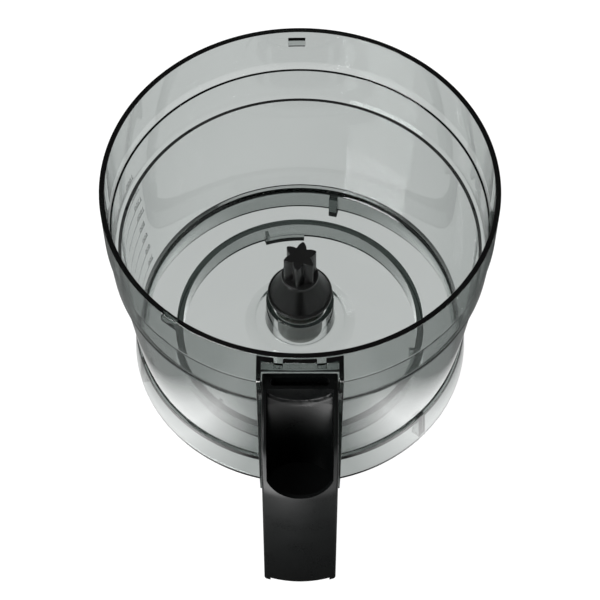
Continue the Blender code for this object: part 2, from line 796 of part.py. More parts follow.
def make_handle(axis, root_frame, black):
    shell = solid("handle_shell", sideways(handle_side(), HALF_W), black, axis)
    plan, _ = handle_plan()
    boolean(shell, "INTERSECT", [helper("handle_plan", upright(plan, 0, RIM_Z), axis)])
    lower_channel, upper_channel = rod_channel()
    cut(
        shell,
        helper("lower_channel", lower_channel, root_frame),
        helper("upper_channel", upper_channel, root_frame),
        helper("lid_slot", lid_slot(), axis),
        helper("grip_hollow", grip_hollow(), axis),
        helper("prong_notch", prong_notch(), axis),
        helper("thumb_pocket", pocket_shape(), axis),
        helper("pocket_mouth", pocket_mouth(), axis),
    )
    for k, shape in enumerate(cover_bosses()):
        join(shell, helper(f"cover_boss_{k}", shape, axis))
    for k, shape in enumerate(root_blocks()):
        join(shell, helper(f"root_block_{k}", shape, axis))
    for name, side in (("left", -1), ("right", 1)):
        join(shell, helper(f"barb_{name}", barb(side), root_frame))
    hole = SCREW_R + GAP
    pilots = [bore(foot, hole, SCREW_L + WEB_T + 4 * GAP, (0, 0, 1)) for foot in root_screw_feet()]
    pilots += [bore(foot, hole, SCREW_L + 2 * GAP, (0, -1, 0)) for foot in cover_screw_feet()]
    cut(shell, helper("pilot_holes", add(pilots[0], *pilots[1:]), axis))

    half = HALF_W - PRONG_W
    high = FINGER_TOP_Z - FINGER_ROUND - GAP
    low = GRIP_FOOT_Z + PRONG_H
    cover = solid(
        "grip_cover", block((-half, -GRIP_BACK - COVER_T, low), (half, -GRIP_BACK, high)), black, axis
    )
    sinks = [
        bore((x, y + OVER, z), SCREW_HEAD_R + GAP, OVER + SCREW_HEAD_H + GAP, (0, -1, 0))
        for x, y, z in cover_screw_feet()
    ]
    through = [bore((x, y + OVER, z), hole, 3 * OVER + COVER_T, (0, -1, 0)) for x, y, z in cover_screw_feet()]
    cut(cover, helper("cover_sinks", add(sinks[0], *sinks[1:]), axis))
    cut(cover, helper("cover_holes", add(through[0], *through[1:]), axis))


# ---------------------------------------------------------------- the interlock, in the root's frame
def across(low_drop, high_drop, half_x, half_t, out=ROD_OUT):
    return block((-half_x, -out - half_t, -low_drop), (half_x, -out + half_t, -high_drop))


def stem(low_drop, high_drop):
    """The rod's round length, with the shoulder that its spring pushes up on."""
    shoulder_r = SPRING_R + SPRING_WIRE_R
    profile = [
        (0, -low_drop),
        (STEM_R, -low_drop),
        (STEM_R, -SHOULDER_DROP),
        (shoulder_r, -SHOULDER_DROP),
        (shoulder_r, -SHOULDER_DROP + GUIDE_T / 2),
        (STEM_R, -SHOULDER_DROP + GUIDE_T / 2),
        (STEM_R, -high_drop),
        (0, -high_drop),
    ]
    bm = turned(profile, 16, closed=False)
    bmesh.ops.translate(bm, vec=(0, -ROD_OUT, 0), verts=bm.verts)
    return bm


def fixed_plate(drop, hole_x, hole_y, name, finish, root_frame):
    """A plate across the channel with a hole for the stem."""
    half_x = CHANNEL_HALF - GAP
    back = ROOT_BACK + GAP
    front = ROOT_CHANNEL - GAP
    plate = solid(name, block((-half_x, -front, -drop - GUIDE_T), (half_x, -back, -drop)), finish, root_frame)
    window = block((-hole_x, -ROD_OUT - hole_y, -drop - GUIDE_T - OVER), (hole_x, -ROD_OUT + hole_y, -drop + OVER))
    cut(plate, helper(f"{name}_hole", window, root_frame))
    return plate


def spring_coil():
    """A compression spring round the stem, from the seat up to the rod's shoulder."""
    low = SEAT_DROP - GAP - SPRING_WIRE_R
    high = SHOULDER_DROP + GAP + SPRING_WIRE_R
    count = SPRING_TURNS * 10
    points = []
    for k in range(count + 1):
        angle = math.tau * SPRING_TURNS * k / count
        drop = low + (high - low) * k / count
        points.append((SPRING_R * math.cos(angle), -ROD_OUT + SPRING_R * math.sin(angle), -drop))
    return points


def make_spring(root_frame, steel):
    curve = bpy.data.curves.new("interlock_spring", "CURVE")
    curve.dimensions = "3D"
    curve.bevel_depth = SPRING_WIRE_R
    curve.bevel_resolution = 1
    curve.use_fill_caps = True
    points = spring_coil()
    line = curve.splines.new("POLY")
    line.points.add(len(points) - 1)
    for point, place in zip(line.points, points):
        point.co = (*place, 1)
    curve.materials.append(steel)
    made = bpy.data.objects.new("interlock_spring", curve)
    bpy.context.scene.collection.objects.link(made)
    made.parent = root_frame


def make_interlock(root_frame, black, pale, steel):
    half_t = ROD_T / 2
    rod = solid("interlock_rod", stem(TIP_DROP - OVER, BLADE_FOOT_DROP - OVER), black, root_frame)
    tip_top = SEAT_DROP + GUIDE_T + ROD_REST_GAP
    blade = helper("rod_blade", across(BLADE_FOOT_DROP, BLADE_TOP_DROP, BLADE_W / 2, half_t), root_frame)
    tip = helper("rod_tip", across(TIP_DROP, tip_top, TIP_W / 2, half_t), root_frame)
    join(rod, blade, tip)
    hole = STEM_R + GAP
    fixed_plate(GUIDE_DROP, hole, hole, "rod_guide", pale, root_frame)
    fixed_plate(SEAT_DROP, hole, hole, "spring_seat", pale, root_frame)
    make_spring(root_frame, steel)


# ---------------------------------------------------------------- the drive unit
def star_outline():
    """Six blunt points: each is two close corners at the full radius, with a shallow valley between."""
    step = math.tau / STAR_POINTS
    blunt = 0.10 * step
    outline = []
    for k in range(STAR_POINTS):
        middle = STAR_TURN + step * k
        for offset, radius in (
            (-blunt, STAR_R - 0.0003),
            (0, STAR_R),
            (blunt, STAR_R - 0.0003),
            (0.42 * step, STAR_VALLEY_R + 0.0001),
            (0.58 * step, STAR_VALLEY_R + 0.0001),
        ):
            outline.append((radius * math.cos(middle + offset), radius * math.sin(middle + offset)))
    return outline


def bell_section():
    """The drive head's bell, from its roof's bore round the outside and back under."""
    edge_z = BELL_Z + BELL_EDGE_H
    collar_foot = COLLAR_Z - COLLAR_H
    cone = [
        (
            COLLAR_R + (BELL_R - BELL_BEVEL - COLLAR_R) * share**1.25,
            collar_foot + (edge_z + BELL_BEVEL - collar_foot) * share,
        )
        for share in (0.0, 0.2, 0.4, 0.6, 0.8, 1.0)
    ]
    roof_r = COLLAR_R + (BELL_R - COLLAR_R) * 0.45
    return [
        (0, BELL_ROOF_Z),
        (roof_r, BELL_ROOF_Z),
        (BELL_R - BELL_WALL, BELL_Z),
        (BELL_R, BELL_Z),
        (BELL_R, edge_z),
        *cone[::-1],
        (COLLAR_R, COLLAR_Z),
        (0, COLLAR_Z),
    ]


def make_drive(axis, black, steel, pale, rubber, white):
    hole = SPINDLE_R + GAP
    fit = NECK_BORE_R - GAP

    head = solid("drive_head", turned(bell_section(), 40, closed=False), black, axis)
    join(head, helper("drive_star", upright(star_outline(), COLLAR_Z - BITE, STAR_TOP_Z), axis))
    cut(head, helper("spindle_bore", rod_shape(hole, BELL_ROOF_Z - OVER, SPINDLE_TOP_Z + GAP, 20), axis))

    spindle = solid("drive_spindle", rod_shape(SPINDLE_R, SPINDLE_FOOT_Z, SPINDLE_TOP_Z, 20), steel, axis)
    groove = tube(SPINDLE_R + OVER, SPINDLE_R - CLIP_GROOVE, CLIP_Z - GAP, CLIP_Z + CLIP_T + GAP, 20)
    pin_z = (COUPLING_TOP_Z + SOCKET_ROOF_Z) / 2
    pin_hole = bore((-COUPLING_R - OVER, 0, pin_z), PIN_R + GAP, 2 * (COUPLING_R + OVER), (1, 0, 0))
    holes = helper("pin_holes", pin_hole, axis)
    cut(spindle, helper("clip_groove", groove, axis), holes)

    lower = [
        (hole, LOWER_BUSH_Z),
        (BUSH_FLANGE_R, LOWER_BUSH_Z),
        (BUSH_FLANGE_R, LOWER_BUSH_Z + BUSH_FLANGE_T),
        (fit, LOWER_BUSH_Z + BUSH_FLANGE_T),
        (fit, HUB_SHOULDER_Z + LOWER_BUSH_L),
        (hole, HUB_SHOULDER_Z + LOWER_BUSH_L),
    ]
    solid("lower_bush", turned(lower, 24), pale, axis)
    solid("upper_bush", tube(fit, hole, UPPER_BUSH_Z, UPPER_BUSH_Z + UPPER_BUSH_L, 24), pale, axis)
    solid("spindle_seal", tube(fit, hole, SEAL_Z, NECK_TOP_Z, 24), rubber, axis)
    solid("thrust_washer", tube(WASHER_R, hole, WASHER_Z, WASHER_Z + WASHER_T, 24), steel, axis)

    coupling = solid("drive_coupling", tube(COUPLING_R, hole, COUPLING_Z, COUPLING_TOP_Z, 32), white, axis)
    socket = upright(polygon(6, SOCKET_R), COUPLING_Z - OVER, SOCKET_ROOF_Z)
    cut(coupling, helper("hex_socket", socket, axis), holes)

    pin = bore((-COUPLING_R + GAP, 0, pin_z), PIN_R, 2 * (COUPLING_R - GAP), (1, 0, 0))
    solid("coupling_pin", pin, steel, axis)

    clip = solid(
        "retaining_clip", tube(CLIP_R, SPINDLE_R - CLIP_GROOVE + GAP, CLIP_Z, CLIP_Z + CLIP_T, 20), steel, axis
    )
    half = CLIP_OPENING / 2
    mouth = block((-half, 0, CLIP_Z - OVER), (half, CLIP_R + OVER, CLIP_Z + CLIP_T + OVER))
    cut(clip, helper("clip_mouth", mouth, axis))


def build():
    clear_scene()
    clear = material("clear_plastic", (0.80, 0.82, 0.81), 0.03, transmission=1.0)
    black = material("black_plastic", (0.012, 0.013, 0.013), 0.38)
    pale = material("acetal", (0.55, 0.56, 0.55), 0.45)
    white = material("white_nylon", (0.62, 0.62, 0.59), 0.45)
    steel = material("steel", (0.62, 0.62, 0.63), 0.25, metallic=1.0)
    rubber = material("seal_rubber", (0.03, 0.03, 0.03), 0.8)

    axis = empty("bowl_axis", (0, AXIS_Y, 0))
    root_frame = empty("handle_root", (0, -RIM_R, RIM_Z), lean=LEAN, parent=axis)
    make_bowl(axis, root_frame, clear)
    make_handle(axis, root_frame, black)
    make_screws(axis, steel)
    make_interlock(root_frame, black, pale, steel)
    make_drive(axis, black, steel, pale, rubber, white)


build()
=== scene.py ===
"""Looks of a food processor's work bowl: clear bowl, black handle and drive head, lights, floor and camera."""

import math

import bmesh
import bpy
import numpy as np
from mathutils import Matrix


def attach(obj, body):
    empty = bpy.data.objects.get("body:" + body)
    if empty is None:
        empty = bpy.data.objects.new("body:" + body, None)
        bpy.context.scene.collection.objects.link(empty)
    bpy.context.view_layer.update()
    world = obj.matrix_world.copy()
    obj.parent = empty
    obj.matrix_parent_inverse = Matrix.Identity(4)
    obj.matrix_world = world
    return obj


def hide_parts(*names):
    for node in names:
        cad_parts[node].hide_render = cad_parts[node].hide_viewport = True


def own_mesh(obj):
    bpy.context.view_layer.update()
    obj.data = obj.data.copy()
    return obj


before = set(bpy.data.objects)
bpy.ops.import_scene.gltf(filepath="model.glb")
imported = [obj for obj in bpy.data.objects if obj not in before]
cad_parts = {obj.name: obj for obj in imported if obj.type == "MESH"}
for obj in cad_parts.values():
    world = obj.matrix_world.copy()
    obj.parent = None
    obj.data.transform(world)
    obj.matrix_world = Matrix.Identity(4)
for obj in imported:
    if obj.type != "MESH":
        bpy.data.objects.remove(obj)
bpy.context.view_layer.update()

# ---------------------------------------------------------------- sizes, in metres
RIM_R = 0.0950
RIM_Z = 0.1380
WALL = 0.0026
LEDGE_OUT = (0.0944, 0.1134)
LEDGE_STEP = 0.0005
LEDGE_IN_Z = 0.1092
LEDGE_IN_DEPTH = 0.0009
WAIST = (0.0922, 0.0895)
WAIST_STEP = 0.0020
WAIST_IN_RISE = 0.0018
FOOT = (0.0833, 0.0220)
FOOT_STEP = 0.0010
SKIRT_R = 0.0854
SKIRT_WALL = 0.0030
FLOOR_Z = 0.0184
FLOOR_T = 0.0025
FLOOR_FILLET = 0.0030
RING_R = 0.0632
RING_WALL = 0.0030
RING_FOOT_Z = 0.0040
CATCH_DEPTH = 0.0030
CATCH_H = 0.0035
RIB_W = 0.0045
RIB_DEPTH = 0.0040
LUG_W = 0.0086
LUG_H = 0.0048
LUG_DEPTH = 0.0020
LUG_DROP = 0.0044
LUG_AZIMUTHS = (91, 230, 350)
CATCH_AZIMUTH = 98
CATCH_SPAN = math.radians(20)
CATCH_END = 9
RIB_AZIMUTH = 77
THIRD_TURN = 120
HUB_CONE_R = 0.0285
HUB_STEP_R = 0.0232
HUB_STEP_H = 0.0028
HUB_R = 0.0172
HUB_TOP_Z = 0.0383
HUB_WALL = 0.0025
NECK_R = 0.0114
NECK_BORE_R = 0.0084
NECK_TOP_Z = 0.0500
BELL_R = 0.0163
BELL_Z = 0.0436
BELL_EDGE_H = 0.0017
BELL_WALL = 0.0016
BELL_ROOF_Z = 0.0508
COLLAR_R = 0.0093
COLLAR_Z = 0.0612
STAR_TOP_Z = 0.0777
STAR_R = 0.0086
STAR_TIP_R = 0.0095  # where the sides of a point would meet
STAR_TIP_ROUND = 0.0008
STAR_VALLEY_R = 0.0051
STAR_VALLEY_ROUND = 0.0006
STAR_TURN = math.radians(19)
STAR_BEVEL = 0.0004
HEAD_ROUND = 0.0006  # outer edges of the collar and the bell
SPINDLE_BORE_R = 0.0038
SPINDLE_BORE_TOP_Z = 0.0705
HANDLE_W = 0.0347
HANDLE_REACH = 0.1430
HANDLE_TOP_Z = 0.1290
HANDLE_BEND_R = 0.0370
HANDLE_WALL = 0.0024
CROWN = 0.0030
GRIP_DEPTH = 0.0160
GRIP_FOOT_Z = 0.0035
PRONG_H = 0.0032
PRONG_W = 0.0030
HANDLE_BEVEL = 0.00055
FINGER_TOP_Z = 0.0760
FINGER_ROUND = 0.0095
POCKET_FLOOR_Z = 0.0785
POCKET_W = 0.0306
POCKET_END_SAG = 0.0115
POCKET_WALL_H = 0.0105
POCKET_SLOPE = math.radians(13)
POCKET_STEP = 0.0009  # ledge where the chute starts below the upright wall
LIP_SIDE_Z = 0.1030
LIP_MID_Z = 0.0930
LIP_WALL = 0.0020
SLOT_W = 0.0270
SLOT_T = 0.0044
SLOT_WALL = 0.0016
ROOT_BACK = 0.0032
ROOT_CHANNEL = 0.0103
APRON_T = 0.0012
APRON_DROP = 0.0360
ROOT_FRONT = 0.0120
ROOT_FOOT_Z = 0.0210
ROD_OUT = 0.0080
ROD_WINDOW = (0.0041, 0.0020)  # half width and half depth of the tip's way through the foot web
SHOULDER_DROP = 0.0760  # the rod's shoulder, which the spring pushes up on
SEAT_DROP = 0.10254  # the spring's seat
SPRING_R = 0.00195
SPRING_WIRE_R = 0.00025
SPRING_TURNS = 13
FLANGE_T = 0.0022
FLANGE_OUT = 0.0112
FLANGE_TOP_DROP = 0.0012
FLANGE_FOOT_OUT = 0.0030
WEB_T = 0.0024
COMB_OUT = 0.0020
COMB_H = 0.0092
COMB_NOTCH_H = 0.0046
COMB_NOTCHES = ((-0.0118, -0.0078), (0.0078, 0.0118))
SNAP_W = 0.0080
SNAP_H = 0.0060
SNAP_DROP = 0.0190
SNAP_OUT = 0.0014
SCREW_R = 0.0014
SCREW_L = 0.0090
BOSS_R = 0.0034
ROOT_SCREW_X = 0.0115
COVER_T = 0.0024
COVER_SCREW_Z = (0.0200, 0.0600)
GAP = 0.0003
BITE = 0.0004
OVER = 0.002

SCALE_STEP_ML = 200
SCALE_LINES = 8
SCALE_START = math.radians(156)
SCALE_W = 0.036
NUMBER_H = 0.0046
DIGIT_W = 0.58  # a digit's width over its height
LINE_H = 0.0004
INK_T = 0.00006

AXIS_Y = (HANDLE_REACH - RIM_R) / 2
LEAN = math.atan((RIM_R - FOOT[0]) / (RIM_Z - FOOT[1]))
HALF_W = HANDLE_W / 2
CHANNEL_HALF = HALF_W - HANDLE_WALL
FLOOR_UNDER_Z = FLOOR_Z - FLOOR_T
HUB_BORE_R = HUB_R - HUB_WALL
HUB_SHOULDER_Z = HUB_TOP_Z - HUB_WALL
GRIP_BACK = HANDLE_REACH - GRIP_DEPTH
RIM_TOP = np.array((0.0, AXIS_Y, RIM_Z))


# ---------------------------------------------------------------- mesh tools
def make_mesh(name, points, faces):
    mesh = bpy.data.meshes.new(name)
    mesh.from_pydata(np.asarray(points, float).tolist(), [], [list(map(int, face)) for face in faces])
    mesh.update()
    made = bpy.data.objects.new(name, mesh)
    bpy.context.scene.collection.objects.link(made)
    return made


def grid_faces(rows, columns, wrap_rows=False, wrap_columns=False):
    """Four-cornered faces of a grid of points, joined end to end where a direction wraps."""
    i = np.arange(rows if wrap_rows else rows - 1)
    j = np.arange(columns if wrap_columns else columns - 1)
    i, j = np.meshgrid(i, j, indexing="ij")
    below, right = (i + 1) % rows, (j + 1) % columns
    corners = np.stack([i * columns + j, i * columns + right, below * columns + right, below * columns + j], -1)
    return corners.reshape(-1, 4).tolist()


def outward(made):
    """Turns every face of a closed mesh outwards."""
    bm = bmesh.new()
    bm.from_mesh(made.data)
    bmesh.ops.remove_doubles(bm, verts=bm.verts, dist=1e-7)
    bmesh.ops.recalc_face_normals(bm, faces=bm.faces)
    bm.to_mesh(made.data)
    bm.free()
    return made


def smooth(made, degrees=32):
    """Smooth shading that leaves broad faces flat right up to the rounds beside them."""
    made.data.shade_smooth()
    made.data.set_sharp_from_angle(angle=math.radians(degrees))
    weigh = made.modifiers.new("broad_faces", "WEIGHTED_NORMAL")
    weigh.mode = "FACE_AREA"
    weigh.weight = 90
    weigh.keep_sharp = True
    return settled(made)


def rounded(corners, count=4):
    """A closed outline whose corners are arcs. Each corner is (across, up, radius), and its arc touches both
    sides at radius / tan(half the corner's angle) from it."""
    spots = np.array([corner[:2] for corner in corners], float)
    path = []
    for k, corner in enumerate(corners):
        here, before, after = spots[k], spots[k - 1], spots[(k + 1) % len(spots)]
        radius = corner[2]
        if radius <= 0:
            path.append(here)
            continue
        back, ahead = before - here, after - here
        back_l, ahead_l = np.linalg.norm(back), np.linalg.norm(ahead)
        back, ahead = back / back_l, ahead / ahead_l
        angle = math.acos(np.clip(back @ ahead, -1, 1))
        reach = min(radius / math.tan(angle / 2), 0.45 * back_l, 0.45 * ahead_l)
        radius = reach * math.tan(angle / 2)
        centre = here + (back + ahead) / np.linalg.norm(back + ahead) * math.hypot(reach, radius)
        start, end = here + back * reach - centre, here + ahead * reach - centre
        a0, a1 = math.atan2(start[1], start[0]), math.atan2(end[1], end[0])
        turn = (a1 - a0 + math.pi) % math.tau - math.pi
        angles = a0 + turn * np.linspace(0, 1, count + 1)
        path.extend(centre + radius * np.stack([np.cos(angles), np.sin(angles)], -1))
    return np.array(path)


def revolved(name, outline, steps):
    """A closed outline of (radius, height) carried round the bowl's axis: x = r sin t, y = axis - r cos t."""
    turn = np.linspace(0, math.tau, steps, endpoint=False)[:, None]
    radius, height = outline[:, 0][None, :], outline[:, 1][None, :]
    points = np.stack(
        [radius * np.sin(turn), AXIS_Y - radius * np.cos(turn), np.broadcast_to(height, (steps, len(outline)))], -1
    )
    return outward(make_mesh(name, points.reshape(-1, 3), grid_faces(steps, len(outline), True, True)))


def prism(name, outline, low, high, place, bevel=0.0):
    """A closed outline carried straight from low to high; place turns (across, up, along) into x, y and z."""
    outline = np.asarray(outline, float)
    count = len(outline)
    ends = [place(outline[:, 0], outline[:, 1], np.full(count, along)) for along in (low, high)]
    points = np.concatenate([np.stack(end, -1) for end in ends])
    faces = grid_faces(2, count, False, True) + [list(range(count)), list(range(2 * count - 1, count - 1, -1))]
    made = outward(make_mesh(name, points, faces))
    if bevel:
        add_bevel(made, bevel)
        made = settled(made)
    return made


def add_bevel(made, width, segments=2, degrees=40):
    bevel = made.modifiers.new("edges", "BEVEL")
    bevel.width = width
    bevel.segments = segments
    bevel.limit_method = "ANGLE"
    bevel.angle_limit = math.radians(degrees)


def settled(made):
    """The object with its modifiers made part of its mesh."""
    graph = bpy.context.evaluated_depsgraph_get()
    mesh = bpy.data.meshes.new_from_object(made.evaluated_get(graph))
    made.modifiers.clear()
    made.data = mesh
    return made


def shaped(base, operation, *tools):
    for tool in tools:
        step = base.modifiers.new(tool.name, "BOOLEAN")
        step.operation = operation
        step.solver = "EXACT"
        step.object = tool
    settled(base)
    for tool in tools:
        bpy.data.objects.remove(tool)
    return base


# Where an outline's three directions go.
def from_side(out, up, x):
    return x, AXIS_Y - out, up


def from_above(x, out, up):
    return x, AXIS_Y - out, up


def from_front(x, up, out):
    return x, AXIS_Y - out, up


def in_root(x, out, down):
    """Handle root frame, which leans with the wall: out from the rim's outer edge, and down along the wall."""
    reach = RIM_R + out * math.cos(LEAN) - down * math.sin(LEAN)
    return x, AXIS_Y - reach, RIM_Z - out * math.sin(LEAN) - down * math.cos(LEAN)


def leaning_at(out, height):
    down = (RIM_Z - out * math.sin(LEAN) - height) / math.cos(LEAN)
    return RIM_R + out * math.cos(LEAN) - down * math.sin(LEAN)


def box_outline(a0, b0, a1, b1, radius=0.0, count=3):
    return rounded([(a0, b0, radius), (a1, b0, radius), (a1, b1, radius), (a0, b1, radius)], count)


# ---------------------------------------------------------------- the bowl
WALL_OUT = [
    (RIM_R, RIM_Z, 0.0003),
    (*LEDGE_OUT, 0.0003),
    (LEDGE_OUT[0] - LEDGE_STEP, LEDGE_OUT[1] - LEDGE_STEP, 0.0004),
    (*WAIST, 0.0003),
    (WAIST[0] - WAIST_STEP, WAIST[1] - WAIST_STEP, 0.0005),
    (*FOOT, 0.0004),
    (FOOT[0] + FOOT_STEP, FOOT[1] - FOOT_STEP, 0.0004),
    (SKIRT_R, 0.0, 0.0005),
]


def outer_radius(height):
    points = np.array([corner[:2] for corner in WALL_OUT])
    return float(np.interp(-height, -points[:, 1], points[:, 0]))


def wall_in():
    """Inner face from the rim to the floor's fillet, falling: the outer face moved in by the wall, with a ledge."""
    ledge_r = outer_radius(LEDGE_IN_Z - WALL) - WALL
    waist_z = WAIST[1] + WAIST_IN_RISE
    return [
        (RIM_R - WALL, RIM_Z, 0.0003),
        (ledge_r + LEDGE_IN_DEPTH, LEDGE_IN_Z, 0.0003),
        (ledge_r, LEDGE_IN_Z - 0.5 * LEDGE_IN_DEPTH, 0.0004),
        (outer_radius(waist_z) - WALL, waist_z, 0.0004),
        (outer_radius(waist_z - WAIST_STEP) - WALL - WAIST_STEP, waist_z - 1.5 * WAIST_STEP, 0.0004),
        (FOOT[0] - WALL - (FOOT[1] - FLOOR_Z) * math.tan(LEAN), FLOOR_Z, FLOOR_FILLET),
    ]


def bowl_outline():
    skirt_in, ring_in = SKIRT_R - SKIRT_WALL, RING_R - RING_WALL
    hub = [
        (HUB_CONE_R, FLOOR_Z, 0.0008),
        (HUB_STEP_R, FLOOR_Z + HUB_STEP_H, 0.0004),
        (HUB_R + 0.0006, FLOOR_Z + HUB_STEP_H + 0.0002, 0.0010),
        (HUB_R, HUB_TOP_Z, 0.0008),
        (NECK_R, HUB_TOP_Z, 0.0004),
        (NECK_R, NECK_TOP_Z, 0.0006),
        (NECK_BORE_R, NECK_TOP_Z, 0.0002),
        (NECK_BORE_R, HUB_SHOULDER_Z, 0.0),
        (HUB_BORE_R, HUB_SHOULDER_Z, 0.0003),
        (HUB_BORE_R + 0.0002, FLOOR_UNDER_Z + HUB_STEP_H, 0.0006),
        (HUB_STEP_R - 0.0008, FLOOR_UNDER_Z + HUB_STEP_H - 0.0004, 0.0005),
        (HUB_CONE_R - 0.0010, FLOOR_UNDER_Z, 0.0006),
    ]
    under = [
        (skirt_in, 0.0, 0.0004),
        (FOOT[0] + FOOT_STEP - SKIRT_WALL, FLOOR_UNDER_Z, 0.0005),
        (RING_R, FLOOR_UNDER_Z, 0.0004),
        (RING_R, RING_FOOT_Z, 0.0004),
        (ring_in, RING_FOOT_Z, 0.0004),
        (ring_in, FLOOR_UNDER_Z, 0.0004),
    ]
    return held(rounded(WALL_OUT + under + hub[::-1] + wall_in()[::-1], 5))


def held(outline, near=0.00025):
    """The outline with a point close to each end of every straight run, so that a round's shading stays in it."""
    path = []
    for here, after in zip(outline, np.roll(outline, -1, 0)):
        length = np.linalg.norm(after - here)
        path.append(here)
        if length > 6 * near:
            path += [here + (after - here) * near / length, after - (after - here) * near / length]
    return np.array(path)


def wall_middle(height, x):
    outer = outer_radius(height)
    points = np.array([corner[:2] for corner in wall_in()])
    inner = outer - SKIRT_WALL
    if height > FLOOR_Z + FLOOR_FILLET:
        inner = float(np.interp(-height, -points[:, 1], points[:, 0]))
    return math.sqrt(((outer + inner) / 2) ** 2 - x * x)


def cheek(side):
    """One clear plate beside the handle's root, from the middle of the wall out to a leaning front edge."""
    x = HALF_W + GAP
    top = RIM_Z - FLANGE_TOP_DROP
    levels = [top, LEDGE_OUT[1], LEDGE_IN_Z, WAIST[1] + WAIST_IN_RISE, WAIST[1], FOOT[1], FOOT[1] - FOOT_STEP, 0.0002]
    back = [(wall_middle(z, x + FLANGE_T / 2), z, 0.0) for z in levels]
    front = [
        (SKIRT_R + FLANGE_FOOT_OUT, 0.0002, 0.0004),
        (leaning_at(FLANGE_OUT, FOOT[1]), FOOT[1], 0.004),
        (leaning_at(FLANGE_OUT, top), top, 0.0022),
    ]
    low, high = sorted((side * x, side * (x + FLANGE_T)))
    return prism(f"cheek_{side}", rounded(back + front, 4), low, high, from_side, 0.0003)


def comb():
    """The clear plate over the handle's top, with two notches, its back in the middle of the wall."""
    top, foot = RIM_Z - FLANGE_TOP_DROP, RIM_Z - COMB_H
    notch = top - COMB_NOTCH_H
    half = HALF_W + GAP + BITE
    outline = [(-half, foot, 0.0), (-half, top, 0.0)]
    for start, end in COMB_NOTCHES:
        outline += [(start, top, 0.0004), (start, notch, 0.0003), (end, notch, 0.0003), (end, top, 0.0004)]
    outline += [(half, top, 0.0), (half, foot, 0.0)]
    back = math.sqrt((RIM_R - WALL / 2) ** 2 - half**2)
    return prism("comb", rounded(outline, 3), back, RIM_R + COMB_OUT, from_front, 0.00025)


def foot_web():
    half = HALF_W + GAP + BITE
    high = ROOT_FOOT_Z - GAP
    low = high - WEB_T
    outline = box_outline(-half, wall_middle(low, half), half, leaning_at(FLANGE_OUT, high) - 0.0002)
    return prism("web", outline, low, high, from_above)


def curved_bar(name, r0, r1, low, high, azimuth, width, bevel=0.0003):
    """A short bar on a circle: the outline's two long sides are arcs at r0 and r1. Azimuth 90 is the back."""
    span = width / ((r0 + r1) / 2)
    angles = math.radians(azimuth) + span * np.linspace(-0.5, 0.5, 9)
    circle = np.stack([np.cos(angles), np.sin(angles)], -1)
    outline = np.concatenate([r1 * circle, r0 * circle[::-1]])
    place = lambda x, y, z: (x, AXIS_Y + y, z)
    return prism(name, outline, low, high, place, bevel)


def make_bowl():
    bowl = revolved("bowl", bowl_outline(), 240)
    rim_in, ring_in = RIM_R - WALL, RING_R - RING_WALL
    skirt_in = FOOT[0] + FOOT_STEP - SKIRT_WALL
    high = RIM_Z - LUG_DROP
    parts = [cheek(-1), cheek(1), comb(), foot_web()]
    for k, azimuth in enumerate(LUG_AZIMUTHS):
        inner = rim_in - LUG_DEPTH
        parts.append(curved_bar(f"lug_{k}", inner, rim_in + WALL / 2, high - LUG_H, high, azimuth, LUG_W))
    for k in range(3):
        at = CATCH_AZIMUTH + THIRD_TURN * k
        width = CATCH_SPAN * ring_in
        low = RING_FOOT_Z + BITE
        parts.append(curved_bar(f"catch_{k}", ring_in - CATCH_DEPTH, ring_in + 0.001, low, low + CATCH_H, at, width))
        end = at + CATCH_END
        parts.append(curved_bar(f"end_{k}", ring_in - CATCH_DEPTH, ring_in + 0.001, low + 0.0005, 0.013, end, 0.0016))
        at = RIB_AZIMUTH + THIRD_TURN * k
        rib_in, rib_out = skirt_in - RIB_DEPTH, SKIRT_R - SKIRT_WALL / 2
        parts.append(curved_bar(f"rib_{k}", rib_in, rib_out, 0.0006, FLOOR_UNDER_Z + BITE, at, RIB_W))
    shaped(bowl, "UNION", *parts)
    windows = []
    middle = (ROOT_BACK + ROOT_CHANNEL) / 2
    for side in (-1, 1):
        low, high = sorted((side * (HALF_W + GAP - OVER / 2), side * (HALF_W + GAP + FLANGE_T + OVER / 2)))
        outline = box_outline(
            middle - SNAP_H / 2, SNAP_DROP - SNAP_W / 2, middle + SNAP_H / 2, SNAP_DROP + SNAP_W / 2, 0.0005
        )
        windows.append(prism(f"window_{side}", outline, low, high, lambda out, down, x: in_root(x, out, down)))
    down = (RIM_Z - ROOT_FOOT_Z) / math.cos(LEAN)
    half_w, half_t = ROD_WINDOW
    outline = box_outline(-half_w, ROD_OUT - half_t, half_w, ROD_OUT + half_t, 0.0004)
    windows.append(prism("rod_window", outline, down - 2 * WEB_T, down + 3 * WEB_T, in_root))
    for k, (x, out) in enumerate(root_screws()):
        circle = round_outline(x, out, SCREW_R + GAP)
        windows.append(prism(f"hole_{k}", circle, ROOT_FOOT_Z - 0.006, ROOT_FOOT_Z + 0.001, from_above))
    shaped(bowl, "DIFFERENCE", *windows)
    return smooth(bowl, 24)


def round_outline(x, y, radius, count=32):
    angle = np.linspace(0, math.tau, count, endpoint=False)
    return np.stack([x + radius * np.cos(angle), y + radius * np.sin(angle)], -1)


def root_screws():
    return [(side * ROOT_SCREW_X, leaning_at(ROD_OUT, ROOT_FOOT_Z)) for side in (-1, 1)]


# ---------------------------------------------------------------- the printed scale
def inner_radius(height):
    points = np.array([corner[:2] for corner in wall_in()])
    return np.interp(-height, -points[:, 1], points[:, 0])


def scale_heights():
    """Where the volume under each line, the bowl's area less the drive's summed up from the floor, is its number."""
    z = np.linspace(FLOOR_Z, LEDGE_IN_Z, 400)
    area = math.pi * (inner_radius(z) ** 2 - np.where(z < COLLAR_Z, BELL_R, STAR_R) ** 2)
    volume = np.concatenate([[0], np.cumsum((area[1:] + area[:-1]) / 2 * np.diff(z))])
    return np.interp(np.arange(1, SCALE_LINES + 1) * SCALE_STEP_ML * 1e-6, volume, z)


